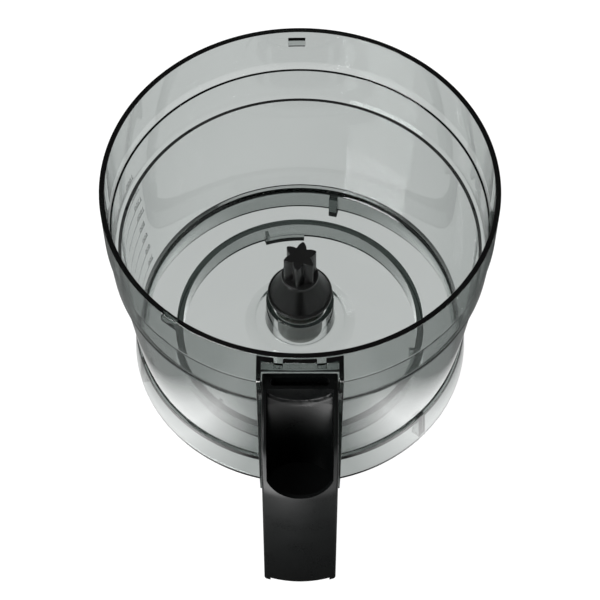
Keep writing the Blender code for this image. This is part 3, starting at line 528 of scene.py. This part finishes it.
def on_wall(along, up, lift):
    """Print wrapped on the wall: along and up in metres from the scale's start, lift out from the surface."""
    azimuth = SCALE_START + along / WAIST[0]
    radius = np.array([outer_radius(height) for height in up]) + INK_T + lift
    return np.stack([radius * np.cos(azimuth), AXIS_Y + radius * np.sin(azimuth), up], -1)


def printed_line(start, end, height, count=16):
    """A thin bar of square section, its four corners carried along the wall."""
    along = np.repeat(np.linspace(start, end, count), 4)
    up = height + np.tile([-0.5, 0.5, 0.5, -0.5], count) * LINE_H
    lift = np.tile([-0.5, -0.5, 0.5, 0.5], count) * INK_T
    last = 4 * (count - 1)
    faces = grid_faces(count, 4, False, True) + [[3, 2, 1, 0], [last, last + 1, last + 2, last + 3]]
    return on_wall(along, up, lift), faces


def printed_number(text, start, height):
    curve = bpy.data.curves.new(text, "FONT")
    curve.body = text
    curve.size = NUMBER_H
    curve.extrude = INK_T / 2
    curve.resolution_u = 3
    letters = bpy.data.objects.new(text, curve)
    bpy.context.scene.collection.objects.link(letters)
    mesh = bpy.data.meshes.new_from_object(letters.evaluated_get(bpy.context.evaluated_depsgraph_get()))
    spots = np.empty(3 * len(mesh.vertices))
    mesh.vertices.foreach_get("co", spots)
    spots = spots.reshape(-1, 3)
    faces = [list(face.vertices) for face in mesh.polygons]
    bpy.data.objects.remove(letters)
    return on_wall(start + spots[:, 0], height + spots[:, 1], spots[:, 2]), faces


def make_scale():
    points, faces = [], []
    for k, height in enumerate(scale_heights()):
        number = str((k + 1) * SCALE_STEP_ML)
        start = NUMBER_H * DIGIT_W * (4 - len(number))
        end = SCALE_W if k % 2 else 0.8 * SCALE_W
        rows = [printed_number(number, start, height + LINE_H), printed_line(start, end, height)]
        for more, corners in rows:
            first = sum(len(part) for part in points)
            points.append(more)
            faces += [[first + corner for corner in face] for face in corners]
    return outward(make_mesh("graduations", np.concatenate(points), faces))


# ---------------------------------------------------------------- the handle
def handle_outline():
    """The handle from the side, once round, and how much of the crown each point takes."""
    gap_front = leaning_at(ROOT_FRONT, FINGER_TOP_Z)
    corners = [
        (leaning_at(ROOT_BACK, HANDLE_TOP_Z), HANDLE_TOP_Z, 0.0012),
        (HANDLE_REACH, HANDLE_TOP_Z, HANDLE_BEND_R),
        (HANDLE_REACH, GRIP_FOOT_Z, 0.0014),
        (GRIP_BACK, GRIP_FOOT_Z, 0.0012),
        (GRIP_BACK, FINGER_TOP_Z, FINGER_ROUND),
        (gap_front, FINGER_TOP_Z, FINGER_ROUND),
        (leaning_at(ROOT_FRONT, ROOT_FOOT_Z), ROOT_FOOT_Z, 0.0012),
        (leaning_at(ROOT_BACK, ROOT_FOOT_Z), ROOT_FOOT_Z, 0.0012),
    ]
    spots = [corner[:2] for corner in corners]
    path = []
    for k, corner in enumerate(corners):
        count = 28 if corner[2] > 0.02 else 10 if corner[2] > 0.005 else 4
        three = [spots[k - 1], spots[k], spots[(k + 1) % len(spots)]]
        path.append(corner_arc(*three, corner[2], count))
    outline = np.concatenate(path)
    # long straight runs get points of their own, so that the crown and the rounded edges follow them
    dense = []
    for here, after in zip(outline, np.roll(outline, -1, 0)):
        pieces = max(1, int(np.linalg.norm(after - here) / 0.004))
        dense.append(here + (after - here) * np.linspace(0, 1, pieces, endpoint=False)[:, None])
    outline = np.concatenate(dense)
    share = np.clip((outline[:, 0] - GRIP_BACK - 0.002) / 0.012, 0, 1)
    return outline, share * share * (3 - 2 * share)


def corner_arc(before, here, after, radius, count):
    before, here, after = (np.array(point, float) for point in (before, here, after))
    back = (before - here) / np.linalg.norm(before - here)
    ahead = (after - here) / np.linalg.norm(after - here)
    angle = math.acos(np.clip(back @ ahead, -1, 1))
    reach = radius / math.tan(angle / 2)
    centre = here + (back + ahead) / np.linalg.norm(back + ahead) * math.hypot(reach, radius)
    start, end = here + back * reach - centre, here + ahead * reach - centre
    a0, a1 = math.atan2(start[1], start[0]), math.atan2(end[1], end[0])
    turn = (a1 - a0 + math.pi) % math.tau - math.pi
    angles = a0 + turn * np.linspace(0, 1, count + 1)
    return centre + radius * np.stack([np.cos(angles), np.sin(angles)], -1)


def handle_body(edge=0.0010):
    """The handle's side outline carried across its width. Each point moves in along its normal by the rounded
    edge, edge - sqrt(edge^2 - s^2), and the front moves back by the crown, CROWN (x / half width)^2."""
    outline, front = handle_outline()
    ahead = np.roll(outline, -1, 0) - np.roll(outline, 1, 0)
    ahead /= np.linalg.norm(ahead, axis=1)[:, None]
    normal = np.stack([-ahead[:, 1], ahead[:, 0]], -1)
    area = np.sum(outline[:, 0] * np.roll(outline[:, 1], -1) - np.roll(outline[:, 0], -1) * outline[:, 1])
    normal *= -np.sign(area)
    inner = np.linspace(-(HALF_W - edge), HALF_W - edge, 25)
    turn = np.linspace(0, math.pi / 2, 6)[1:]
    x = np.concatenate([-(HALF_W - edge) - edge * np.sin(turn)[::-1], inner, HALF_W - edge + edge * np.sin(turn)])
    over = np.clip(np.abs(x) - (HALF_W - edge), 0, edge)
    inset = edge - np.sqrt(edge * edge - over * over)
    spots = outline[None] - normal[None] * inset[:, None, None]
    crown = front[None, :] * (CROWN * (x / HALF_W) ** 2)[:, None]
    points = np.stack([np.broadcast_to(x[:, None], crown.shape), AXIS_Y - spots[..., 0] + crown, spots[..., 1]], -1)
    rows, count = crown.shape
    faces = grid_faces(rows, count, False, True)
    faces += [list(range(count)), list(range(rows * count - 1, (rows - 1) * count - 1, -1))]
    return outward(make_mesh("handle", points.reshape(-1, 3), faces))


def slot_out():
    return leaning_at(ROD_OUT, HANDLE_TOP_Z)


def thumb_pocket():
    """Rows of plan outlines going down. The back is the upright wall or, where that lies further out, a chute:
    wall + fall tan(slope) + sag (1 - cos a) at x = half width sin a. The front keeps LIP_WALL inside the handle's
    crowned and bent face."""
    half = POCKET_W / 2
    wall = slot_out() + SLOT_T / 2 + SLOT_WALL
    wall_foot = HANDLE_TOP_Z - POCKET_WALL_H
    fall = wall_foot - POCKET_FLOOR_Z
    upper = np.linspace(HANDLE_TOP_Z + OVER, wall_foot, 26, endpoint=False)
    z = np.concatenate([upper, np.linspace(wall_foot, POCKET_FLOOR_Z, 30)])
    share = np.clip((wall_foot - z) / fall, 0, 1)[:, None]
    angle = np.radians(np.linspace(-90, 90, 49))[None]
    chute = wall + (wall_foot - z)[:, None] * math.tan(POCKET_SLOPE)
    sag = POCKET_END_SAG * (0.20 + 0.80 * share)
    chute = chute + sag * (1 - np.cos(angle))
    step = POCKET_STEP * np.clip((chute - wall) / 0.0002, 0, 1)
    out = np.maximum(wall, chute) + step
    x = np.broadcast_to(half * np.sin(angle), out.shape)
    rows = len(z)
    across = np.linspace(half, -half, 17)
    bend_z = HANDLE_TOP_Z - HANDLE_BEND_R
    bent = np.clip(z - bend_z, 0, LIP_SIDE_Z + OVER - bend_z)
    bent = HANDLE_BEND_R - np.sqrt(HANDLE_BEND_R**2 - bent * bent)
    front = HANDLE_REACH - LIP_WALL - bent[:, None] - CROWN * (across / HALF_W) ** 2
    x = np.concatenate([x, np.tile(across, (rows, 1))], 1)
    out = np.concatenate([out, front], 1)
    points = np.stack([x, AXIS_Y - out, np.broadcast_to(z[:, None], x.shape)], -1)
    count = x.shape[1]
    faces = grid_faces(rows, count, False, True)
    faces += [list(range(count)), list(range(rows * count - 1, (rows - 1) * count - 1, -1))]
    return outward(make_mesh("pocket", points.reshape(-1, 3), faces))


def pocket_mouth():
    half = POCKET_W / 2 - 0.0001
    rise = LIP_SIDE_Z - LIP_MID_Z
    radius = (half * half + rise * rise) / (2 * rise)
    bend = math.asin(half / radius)
    angle = -math.pi / 2 + np.linspace(-bend, bend, 33)
    lip = np.stack([radius * np.cos(angle), LIP_MID_Z + radius + radius * np.sin(angle)], -1)
    top = HANDLE_TOP_Z + OVER + 0.001
    outline = np.concatenate([lip, [(half, top), (-half, top)]])
    back = slot_out() + SLOT_T / 2 + SLOT_WALL + POCKET_END_SAG
    return prism("mouth", outline, back, HANDLE_REACH + OVER, from_front)


def make_handle():
    handle = handle_body()
    top = RIM_Z - HANDLE_TOP_Z + HANDLE_WALL + ROOT_CHANNEL * math.sin(LEAN)
    foot = (RIM_Z - ROOT_FOOT_Z) / math.cos(LEAN) + OVER
    channel = box_outline(-CHANNEL_HALF, ROOT_BACK - OVER, CHANNEL_HALF, ROOT_CHANNEL)
    upper = box_outline(-CHANNEL_HALF, ROOT_BACK + APRON_T, CHANNEL_HALF, ROOT_CHANNEL)
    slot = rounded(
        [
            (-SLOT_W / 2, slot_out() - SLOT_T / 2, SLOT_T * 0.49),
            (SLOT_W / 2, slot_out() - SLOT_T / 2, SLOT_T * 0.49),
            (SLOT_W / 2, slot_out() + SLOT_T / 2, SLOT_T * 0.49),
            (-SLOT_W / 2, slot_out() + SLOT_T / 2, SLOT_T * 0.49),
        ],
        8,
    )
    inner_half = HALF_W - PRONG_W
    front = HANDLE_REACH - CROWN - HANDLE_WALL
    hollow = box_outline(-inner_half - GAP, GRIP_BACK - OVER, inner_half + GAP, front)
    notch = box_outline(-inner_half, GRIP_BACK - OVER, inner_half, HANDLE_REACH + OVER)
    shaped(
        handle,
        "DIFFERENCE",
        prism("channel", channel, APRON_DROP, foot, in_root),
        prism("upper_channel", upper, top, APRON_DROP + BITE, in_root),
        prism("slot", slot, HANDLE_TOP_Z - 3 * HANDLE_WALL, HANDLE_TOP_Z + OVER, from_above),
        prism("hollow", hollow, GRIP_FOOT_Z - OVER, FINGER_TOP_Z - FINGER_ROUND, from_above),
        prism("notch", notch, GRIP_FOOT_Z - OVER, GRIP_FOOT_Z + PRONG_H, from_above),
        thumb_pocket(),
        pocket_mouth(),
    )
    solids = []
    for k, z in enumerate(COVER_SCREW_Z):
        circle = round_outline(0, z, BOSS_R)
        solids.append(prism(f"boss_{k}", circle, GRIP_BACK + COVER_T + 2 * GAP, front + BITE, from_front))
    for k, (x, out) in enumerate(root_screws()):
        low, high = sorted((x - math.copysign(BOSS_R, x), math.copysign(CHANNEL_HALF + BITE, x)))
        outline = box_outline(low, out - 0.8 * BOSS_R, high, out + 0.8 * BOSS_R)
        solids.append(prism(f"block_{k}", outline, ROOT_FOOT_Z + BITE, ROOT_FOOT_Z + SCREW_L, from_above))
    middle = (ROOT_BACK + ROOT_CHANNEL) / 2
    for side in (-1, 1):
        low, high = sorted((side * (HALF_W - BITE), side * (HALF_W + SNAP_OUT)))
        a, b = SNAP_H / 2 - 2 * GAP, SNAP_W / 2 - 2 * GAP
        outline = box_outline(middle - a, SNAP_DROP - b, middle + a, SNAP_DROP + b, 0.0004)
        solids.append(prism(f"barb_{side}", outline, low, high, lambda out, down, x: in_root(x, out, down)))
    shaped(handle, "UNION", *solids)
    pilots = []
    for k, z in enumerate(COVER_SCREW_Z):
        circle = round_outline(0, z, SCREW_R + GAP)
        pilots.append(prism(f"pilot_{k}", circle, GRIP_BACK, GRIP_BACK + SCREW_L + 3 * GAP, from_front))
    for k, (x, out) in enumerate(root_screws()):
        circle = round_outline(x, out, SCREW_R + GAP)
        pilots.append(prism(f"bore_{k}", circle, ROOT_FOOT_Z - 0.004, ROOT_FOOT_Z + SCREW_L - 0.001, from_above))
    shaped(handle, "DIFFERENCE", *pilots)
    add_bevel(handle, HANDLE_BEVEL, 3, 48)
    return smooth(settled(handle), 35)


# ---------------------------------------------------------------- the rod's spring
def spring_ends():
    return SHOULDER_DROP + GAP + SPRING_WIRE_R, SEAT_DROP - GAP - SPRING_WIRE_R


def make_spring():
    """A wire round the coil (R cos a, R sin a, fall), which falls a wire's width over the first and last turn and
    evenly between. Each ring of the wire is w (cos b outward + sin b across the wire)."""
    turns = np.linspace(0, SPRING_TURNS, SPRING_TURNS * 24 + 1)
    high, low = spring_ends()
    wire = 2 * SPRING_WIRE_R
    fall = np.interp(turns, (0, 1, SPRING_TURNS - 1, SPRING_TURNS), (high, high + wire, low - wire, low))
    angle = math.tau * turns
    middle = np.stack([SPRING_R * np.cos(angle), SPRING_R * np.sin(angle), fall], -1)
    along = np.gradient(middle, axis=0)
    along /= np.linalg.norm(along, axis=1)[:, None]
    radial = np.stack([np.cos(angle), np.sin(angle), np.zeros_like(angle)], -1)
    across = np.cross(along, radial)
    bend = np.linspace(0, math.tau, 10, endpoint=False)[None, :, None]
    skin = middle[:, None] + SPRING_WIRE_R * (np.cos(bend) * radial[:, None] + np.sin(bend) * across[:, None])
    points = np.stack(in_root(skin[..., 0], ROD_OUT - skin[..., 1], skin[..., 2]), -1)
    rows, count = points.shape[:2]
    faces = grid_faces(rows, count, False, True)
    faces += [list(range(count)), list(range(rows * count - 1, (rows - 1) * count - 1, -1))]
    return smooth(outward(make_mesh("return_spring", points.reshape(-1, 3), faces)), 50)


# ---------------------------------------------------------------- the drive head
def star_radius(angle):
    """Radius of the star at each angle: six points and valleys joined by straight sides, with rounded corners."""
    corners = []
    for k in range(6):
        for at, radius, bend in ((k, STAR_TIP_R, STAR_TIP_ROUND), (k + 0.5, STAR_VALLEY_R, STAR_VALLEY_ROUND)):
            turn = STAR_TURN + at * math.tau / 6
            corners.append((radius * math.cos(turn), radius * math.sin(turn), bend))
    outline = rounded(corners, 6)
    turn = np.arctan2(outline[:, 1], outline[:, 0])
    return np.interp(angle, turn, np.hypot(outline[:, 0], outline[:, 1]), period=math.tau)


# How a ring of the drive head gets its radius: its number as it is, times the star's radius, or added to it.
CIRCLE, STAR_SHARE, STAR_OFFSET = range(3)


def edge_rings(radius, height, bend, start):
    """Round an outer edge: radius + bend sin a and height + bend cos a, from a = start to a quarter turn."""
    angles = np.linspace(start, math.pi / 2, 4)
    return [(radius + bend * math.sin(a), height + bend * math.cos(a), CIRCLE) for a in angles]


def make_drive_head():
    """Rings from the top's middle down the star, over the collar and bell, and back up inside to the bore's end.
    The bell's outside falls as its share of the width to the power 0.85."""
    edge = BELL_Z + BELL_EDGE_H
    rings = [(share, STAR_TOP_Z, STAR_SHARE) for share in (0.0, 0.25, 0.5, 0.75, 0.92)]
    for a in np.linspace(0, math.pi / 2, 5):
        rings.append((-STAR_BEVEL * (1 - math.sin(a)), STAR_TOP_Z - STAR_BEVEL * (1 - math.cos(a)), STAR_OFFSET))
    rings += [(0.0, z, STAR_OFFSET) for z in np.linspace(STAR_TOP_Z - 0.002, COLLAR_Z + 0.0004, 8)]
    rings += [(0.0003, COLLAR_Z + 0.0001, STAR_OFFSET), (COLLAR_R - HEAD_ROUND, COLLAR_Z, CIRCLE)]
    rings += edge_rings(COLLAR_R - HEAD_ROUND, COLLAR_Z - HEAD_ROUND, HEAD_ROUND, 0.4)
    foot = COLLAR_Z - 0.0022
    share = np.linspace(0, 1, 22)
    cone_r = COLLAR_R - 0.0002 + (BELL_R - 0.0012 - COLLAR_R) * share
    cone_z = foot + (edge + 0.0011 - foot) * share**0.85
    rings += [(r, z, CIRCLE) for r, z in zip(cone_r, cone_z)]
    rings += [(BELL_R - 0.0012, edge + 0.0005, CIRCLE), (BELL_R - HEAD_ROUND, edge + 0.0003, CIRCLE)]
    rings += edge_rings(BELL_R - HEAD_ROUND, edge - 0.0003, HEAD_ROUND, 0.2)
    bell_in = BELL_R - BELL_WALL
    roof = COLLAR_R + (BELL_R - COLLAR_R) * 0.45
    inside = [
        (BELL_R, BELL_Z + 0.0003),
        (BELL_R - 0.0003, BELL_Z),
        (bell_in + 0.0003, BELL_Z),
        (bell_in, BELL_Z + 0.0003),
        (roof + 0.0004, BELL_ROOF_Z - 0.0006),
        (roof - 0.0002, BELL_ROOF_Z),
        (SPINDLE_BORE_R, BELL_ROOF_Z),
        (SPINDLE_BORE_R, SPINDLE_BORE_TOP_Z),
        (0.0, SPINDLE_BORE_TOP_Z),
    ]
    rings += [(r, z, CIRCLE) for r, z in inside]
    angle = np.linspace(0, math.tau, 180, endpoint=False)
    star = star_radius(angle)
    ways = {CIRCLE: np.zeros_like(star), STAR_OFFSET: star}
    radii = np.array([star * r if way == STAR_SHARE else ways[way] + r for r, _, way in rings])
    heights = np.array([ring[1] for ring in rings])[:, None]
    points = np.stack(
        [radii * np.cos(angle), AXIS_Y + radii * np.sin(angle), np.broadcast_to(heights, radii.shape)], -1
    )
    made = make_mesh("drive_top", points.reshape(-1, 3), grid_faces(len(rings), len(angle), False, True))
    return smooth(outward(made), 38)


# ---------------------------------------------------------------- materials
def group(name, inputs, outputs):
    tree = bpy.data.node_groups.new(name, "ShaderNodeTree")
    for label, value in inputs.items():
        socket = tree.interface.new_socket(label, in_out="INPUT", socket_type="NodeSocketFloat")
        socket.default_value = value
    for label, kind in outputs.items():
        tree.interface.new_socket(label, in_out="OUTPUT", socket_type=kind)
    return tree, tree.nodes.new("NodeGroupInput"), tree.nodes.new("NodeGroupOutput")


def noise(tree, scale, detail, stretch=(1, 1, 1)):
    place = tree.nodes.new("ShaderNodeTexCoord")
    turn = tree.nodes.new("ShaderNodeMapping")
    turn.inputs["Scale"].default_value = stretch
    tree.links.new(place.outputs["Object"], turn.inputs["Vector"])
    made = tree.nodes.new("ShaderNodeTexNoise")
    made.inputs["Scale"].default_value = scale
    made.inputs["Detail"].default_value = detail
    tree.links.new(turn.outputs["Vector"], made.inputs["Vector"])
    return made.outputs["Fac"]


def calc(tree, operation, a, b=None, c=None):
    node = tree.nodes.new("ShaderNodeMath")
    node.operation = operation
    for socket, value in zip(node.inputs, (a, b, c)):
        if value is None:
            continue
        if isinstance(value, (int, float)):
            socket.default_value = value
        else:
            tree.links.new(value, socket)
    return node.outputs[0]


def grain_group():
    """Moulded plastic: a fine spark-eroded grain and slow patches where the tool is more worn."""
    tree, given, out = group(
        "moulded_grain",
        {"Grain": 0.5, "Patches": 0.5, "Roughness": 0.4},
        {"Height": "NodeSocketFloat", "Roughness": "NodeSocketFloat", "Shade": "NodeSocketFloat"},
    )
    fine = noise(tree, 2600, 4)
    coarse = noise(tree, 60, 3)
    height = calc(tree, "MULTIPLY", fine, given.outputs["Grain"])
    lift = calc(tree, "MULTIPLY", calc(tree, "SUBTRACT", coarse, 0.5), given.outputs["Patches"])
    rough = calc(tree, "ADD", given.outputs["Roughness"], calc(tree, "MULTIPLY", lift, 0.3))
    rough = calc(tree, "ADD", rough, calc(tree, "MULTIPLY", calc(tree, "SUBTRACT", fine, 0.5), 0.15))
    tree.links.new(height, out.inputs["Height"])
    tree.links.new(rough, out.inputs["Roughness"])
    tree.links.new(calc(tree, "ADD", 1.0, lift), out.inputs["Shade"])
    return tree


def plastic(name, color, roughness, grains, specular=0.5, grain=0.5, bump=0.00002):
    made = bpy.data.materials.new(name)
    made.use_nodes = True
    tree = made.node_tree
    shader = tree.nodes["Principled BSDF"]
    shader.inputs["Specular IOR Level"].default_value = specular
    use = tree.nodes.new("ShaderNodeGroup")
    use.node_tree = grains
    use.inputs["Grain"].default_value = grain
    use.inputs["Patches"].default_value = 0.5
    use.inputs["Roughness"].default_value = roughness
    mix = tree.nodes.new("ShaderNodeMix")
    mix.data_type = "RGBA"
    mix.blend_type = "MULTIPLY"
    mix.inputs["Factor"].default_value = 1.0
    mix.inputs["A"].default_value = (*color, 1)
    tree.links.new(use.outputs["Shade"], mix.inputs["B"])
    tree.links.new(mix.outputs["Result"], shader.inputs["Base Color"])
    tree.links.new(use.outputs["Roughness"], shader.inputs["Roughness"])
    raise_ = tree.nodes.new("ShaderNodeBump")
    raise_.inputs["Distance"].default_value = bump
    raise_.inputs["Strength"].default_value = 0.6
    tree.links.new(use.outputs["Height"], raise_.inputs["Height"])
    tree.links.new(raise_.outputs["Normal"], shader.inputs["Normal"])
    return made


def metal(name, color, roughness, marks):
    """Turned metal: the marks are noise squeezed along the piece's axis."""
    made = bpy.data.materials.new(name)
    made.use_nodes = True
    tree = made.node_tree
    shader = tree.nodes["Principled BSDF"]
    shader.inputs["Metallic"].default_value = 1.0
    lines = noise(tree, 400, 5, marks)
    rough = calc(tree, "ADD", roughness, calc(tree, "MULTIPLY", lines, 0.18))
    tree.links.new(rough, shader.inputs["Roughness"])
    ramp = tree.nodes.new("ShaderNodeValToRGB")
    ramp.color_ramp.elements[0].color = (*[0.8 * c for c in color], 1)
    ramp.color_ramp.elements[1].color = (*color, 1)
    tree.links.new(lines, ramp.inputs["Fac"])
    tree.links.new(ramp.outputs["Color"], shader.inputs["Base Color"])
    return made


CLEAR_IOR = 1.57
SMOKE_COLOR = (0.30, 0.345, 0.33, 1)
SMOKE_DENSITY = 290.0


def clear_plastic():
    """Smoky clear moulding: the tint is in its depth, and its skin has faint flow waves and a little haze."""
    made = bpy.data.materials.new("clear_moulding")
    made.use_nodes = True
    tree = made.node_tree
    shader = tree.nodes["Principled BSDF"]
    shader.inputs["Transmission Weight"].default_value = 1.0
    shader.inputs["IOR"].default_value = CLEAR_IOR
    haze = noise(tree, 35, 3, (1, 1, 0.5))
    tree.links.new(calc(tree, "MULTIPLY", haze, 0.03), shader.inputs["Roughness"])
    ramp = tree.nodes.new("ShaderNodeValToRGB")
    ramp.color_ramp.elements[0].color = (0.955, 0.97, 0.965, 1)
    ramp.color_ramp.elements[1].color = (0.985, 0.995, 0.99, 1)
    tree.links.new(haze, ramp.inputs["Fac"])
    tree.links.new(ramp.outputs["Color"], shader.inputs["Base Color"])
    waves = noise(tree, 45, 1)
    bump = tree.nodes.new("ShaderNodeBump")
    bump.inputs["Distance"].default_value = 0.00006
    bump.inputs["Strength"].default_value = 0.25
    tree.links.new(waves, bump.inputs["Height"])
    tree.links.new(bump.outputs["Normal"], shader.inputs["Normal"])
    smoke = tree.nodes.new("ShaderNodeVolumeAbsorption")
    smoke.inputs["Color"].default_value = SMOKE_COLOR
    smoke.inputs["Density"].default_value = SMOKE_DENSITY
    tree.links.new(smoke.outputs["Volume"], tree.nodes["Material Output"].inputs["Volume"])
    return made


def dress(made, finish):
    made.data.materials.clear()
    made.data.materials.append(finish)


# ---------------------------------------------------------------- build
grains = grain_group()
clear = clear_plastic()
black = plastic("black_moulding", (0.0022, 0.0026, 0.0026), 0.30, grains, specular=0.17)
head_black = plastic("driver_moulding", (0.007, 0.007, 0.007), 0.32, grains, specular=0.45)
nylon = plastic("white_nylon", (0.66, 0.66, 0.63), 0.45, grains, grain=0.3)
acetal = plastic("white_acetal", (0.62, 0.63, 0.61), 0.35, grains, grain=0.3)
rubber = plastic("seal_rubber", (0.015, 0.015, 0.015), 0.75, grains, specular=0.3, grain=0.9)
ink = plastic("printing_ink", (0.045, 0.05, 0.05), 0.55, grains, specular=0.3, grain=0.2)
steel = metal("turned_steel", (0.66, 0.66, 0.68), 0.2, (0.2, 0.2, 4.0))

bowl = make_bowl()
dress(bowl, clear)
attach(bowl, "bowl")
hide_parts("work_bowl")

scale = make_scale()
dress(scale, ink)
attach(scale, "bowl")

handle = make_handle()
dress(handle, black)
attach(handle, "bowl")
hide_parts("handle_shell")

head = make_drive_head()
dress(head, head_black)
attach(head, "drive")
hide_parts("drive_head")

spring = make_spring()
dress(spring, steel)
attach(spring, "bowl")
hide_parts("interlock_spring")
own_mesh(spring)

FINISHES = {
    "grip_cover": black,
    "root_screw_left": steel,
    "root_screw_right": steel,
    "cover_screw_lower": steel,
    "cover_screw_upper": steel,
    "interlock_rod": black,
    "rod_guide": acetal,
    "spring_seat": acetal,
    "drive_spindle": steel,
    "lower_bush": acetal,
    "upper_bush": acetal,
    "spindle_seal": rubber,
    "thrust_washer": steel,
    "drive_coupling": nylon,
    "coupling_pin": steel,
    "retaining_clip": steel,
}
for node, finish in FINISHES.items():
    dress(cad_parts[node], finish)


# ---------------------------------------------------------------- studio
FLOOR_SHADE = 0.10
FLOOR_GLOW = 0.90
FLOOR_LIFT = 0.12  # keeps the bare paper white beside the object
PAINTED_POOL_SPAN = 0.2  # painted reflection: only mirror images see the paper brighter in a strip either side of the object, and seen straight on it stays plain
PAINTED_POOL_STOPS = ((0.15, 0.03), (0.32, 1.0), (0.37, 0.75), (0.45, 0.06))
PAINTED_POOL_GLOW = 2.5
PAINTED_POOL_ROUND = (0.098, 0.128)  # distance from the bowl's axis where the painted reflection strips fade out
PAINTED_FRONT_FADE = (0.165, 0.215)  # painted reflection: the paper this far ahead of the middle looks bright only in mirror images, more on the left
PAINTED_FRONT_GLOW = 9.0
SKY_STOPS = ((0.0, 0.80), (0.22, 0.65), (0.45, 0.12), (0.90, 0.07), (1.0, 0.25))
SKY_LEVEL = 1.2


def fill_ramp(ramp, stops):
    bar = ramp.color_ramp
    while len(bar.elements) < len(stops):
        bar.elements.new(0.5)
    for element, (place, level) in zip(bar.elements, stops):
        element.position = place
        element.color = (level, level, level, 1)


def fade(tree, value, start, end, low, high):
    """Smooth step from low at start to high at end."""
    node = tree.nodes.new("ShaderNodeMapRange")
    node.interpolation_type = "SMOOTHSTEP"
    tree.links.new(value, node.inputs["Value"])
    for label, given in (("From Min", start), ("From Max", end), ("To Min", low), ("To Max", high)):
        node.inputs[label].default_value = given
    return node.outputs["Result"]


def make_floor():
    """White paper that stays white where it is seen, straight or through the bowl, and gives back little light. Only
    glossy rays see painted reflections in it: bright strips either side of the object and a bright patch ahead of it.
    """
    floor = make_mesh("floor", [(-4, -4, 0), (4, -4, 0), (4, 4, 0), (-4, 4, 0)], [(0, 1, 2, 3)])
    floor.location.z = -0.0002
    paper = bpy.data.materials.new("white_paper_painted_reflections")
    paper.use_nodes = True
    tree = paper.node_tree
    shader = tree.nodes["Principled BSDF"]
    shader.inputs["Base Color"].default_value = (*[FLOOR_SHADE] * 3, 1)
    shader.inputs["Roughness"].default_value = 1.0
    shader.inputs["Specular IOR Level"].default_value = 0.0
    shader.inputs["Emission Color"].default_value = (1, 1, 1, 1)
    path = tree.nodes.new("ShaderNodeLightPath")
    seen = calc(tree, "MAXIMUM", path.outputs["Is Camera Ray"], path.outputs["Is Transmission Ray"])
    seen = calc(tree, "MAXIMUM", seen, path.outputs["Is Diffuse Ray"])
    where = tree.nodes.new("ShaderNodeTexCoord")
    split = tree.nodes.new("ShaderNodeSeparateXYZ")
    tree.links.new(where.outputs["Object"], split.inputs["Vector"])
    # painted reflection: bright strips either side of the object and a bright patch ahead of it. They glow only for
    # rays that are not camera, transmission or diffuse rays, so they show only as highlights mirrored in the bowl and
    # the handle.
    aside = calc(tree, "MULTIPLY", calc(tree, "ABSOLUTE", split.outputs["X"]), 1 / PAINTED_POOL_SPAN)
    painted_pool = tree.nodes.new("ShaderNodeValToRGB")
    tree.links.new(aside, painted_pool.inputs["Fac"])
    fill_ramp(painted_pool, PAINTED_POOL_STOPS)
    back = calc(tree, "SUBTRACT", split.outputs["Y"], AXIS_Y)
    squares = calc(tree, "MULTIPLY_ADD", split.outputs["X"], split.outputs["X"], calc(tree, "MULTIPLY", back, back))
    near = fade(tree, calc(tree, "SQRT", squares), *PAINTED_POOL_ROUND, 1.0, 0.12)
    painted_strips = calc(tree, "MULTIPLY", calc(tree, "MULTIPLY", painted_pool.outputs["Color"], near), PAINTED_POOL_GLOW)
    # painted reflection patch ahead of the object, stronger on the left
    ahead = fade(tree, calc(tree, "MULTIPLY", split.outputs["Y"], -1.0), *PAINTED_FRONT_FADE, 0.0, PAINTED_FRONT_GLOW)
    ahead = calc(tree, "MULTIPLY", ahead, fade(tree, split.outputs["X"], -0.03, 0.03, 1.0, 0.25))
    painted_reflection = calc(tree, "MULTIPLY", calc(tree, "SUBTRACT", 1.0, seen), calc(tree, "ADD", painted_strips, ahead))
    painted_reflection = calc(tree, "MULTIPLY_ADD", path.outputs["Is Camera Ray"], FLOOR_LIFT, painted_reflection)
    glow = calc(tree, "MULTIPLY_ADD", seen, FLOOR_GLOW, painted_reflection)
    tree.links.new(glow, shader.inputs["Emission Strength"])
    dress(floor, paper)


def make_sky():
    """Bright round the horizon, dim above it, and a soft lamp overhead: stops of sine of elevation and level."""
    world = bpy.data.worlds.new("studio")
    bpy.context.scene.world = world
    world.use_nodes = True
    tree = world.node_tree
    back = tree.nodes["Background"]
    place = tree.nodes.new("ShaderNodeTexCoord")
    split = tree.nodes.new("ShaderNodeSeparateXYZ")
    ramp = tree.nodes.new("ShaderNodeValToRGB")
    tree.links.new(place.outputs["Generated"], split.inputs["Vector"])
    tree.links.new(split.outputs["Z"], ramp.inputs["Fac"])
    tree.links.new(ramp.outputs["Color"], back.inputs["Color"])
    fill_ramp(ramp, SKY_STOPS)
    back.inputs["Strength"].default_value = SKY_LEVEL


def make_lamp(name, place, size, power):
    data = bpy.data.lights.new(name, "AREA")
    data.shape = "DISK"
    data.size = size
    data.energy = power
    lamp = bpy.data.objects.new(name, data)
    bpy.context.scene.collection.objects.link(lamp)
    lamp.location = place
    aim = RIM_TOP - np.array(place)
    lamp.rotation_euler = (math.atan2(math.hypot(aim[0], aim[1]), -aim[2]), 0, math.atan2(aim[0], -aim[1]) + math.pi)


def make_camera():
    data = bpy.data.cameras.new("camera")
    data.lens = 144
    data.sensor_width = 36
    camera = bpy.data.objects.new("camera", data)
    bpy.context.scene.collection.objects.link(camera)
    camera.location = RIM_TOP + np.array((0, -0.6526, 0.9281))
    camera.rotation_euler = (math.radians(32.38), 0, 0)
    data.clip_end = 20
    bpy.context.scene.camera = camera


make_floor()
make_sky()
make_lamp("left_lamp", (-0.9, -0.7, 1.1), 0.9, 24.0)
make_camera()
bpy.context.scene.view_settings.view_transform = "Standard"
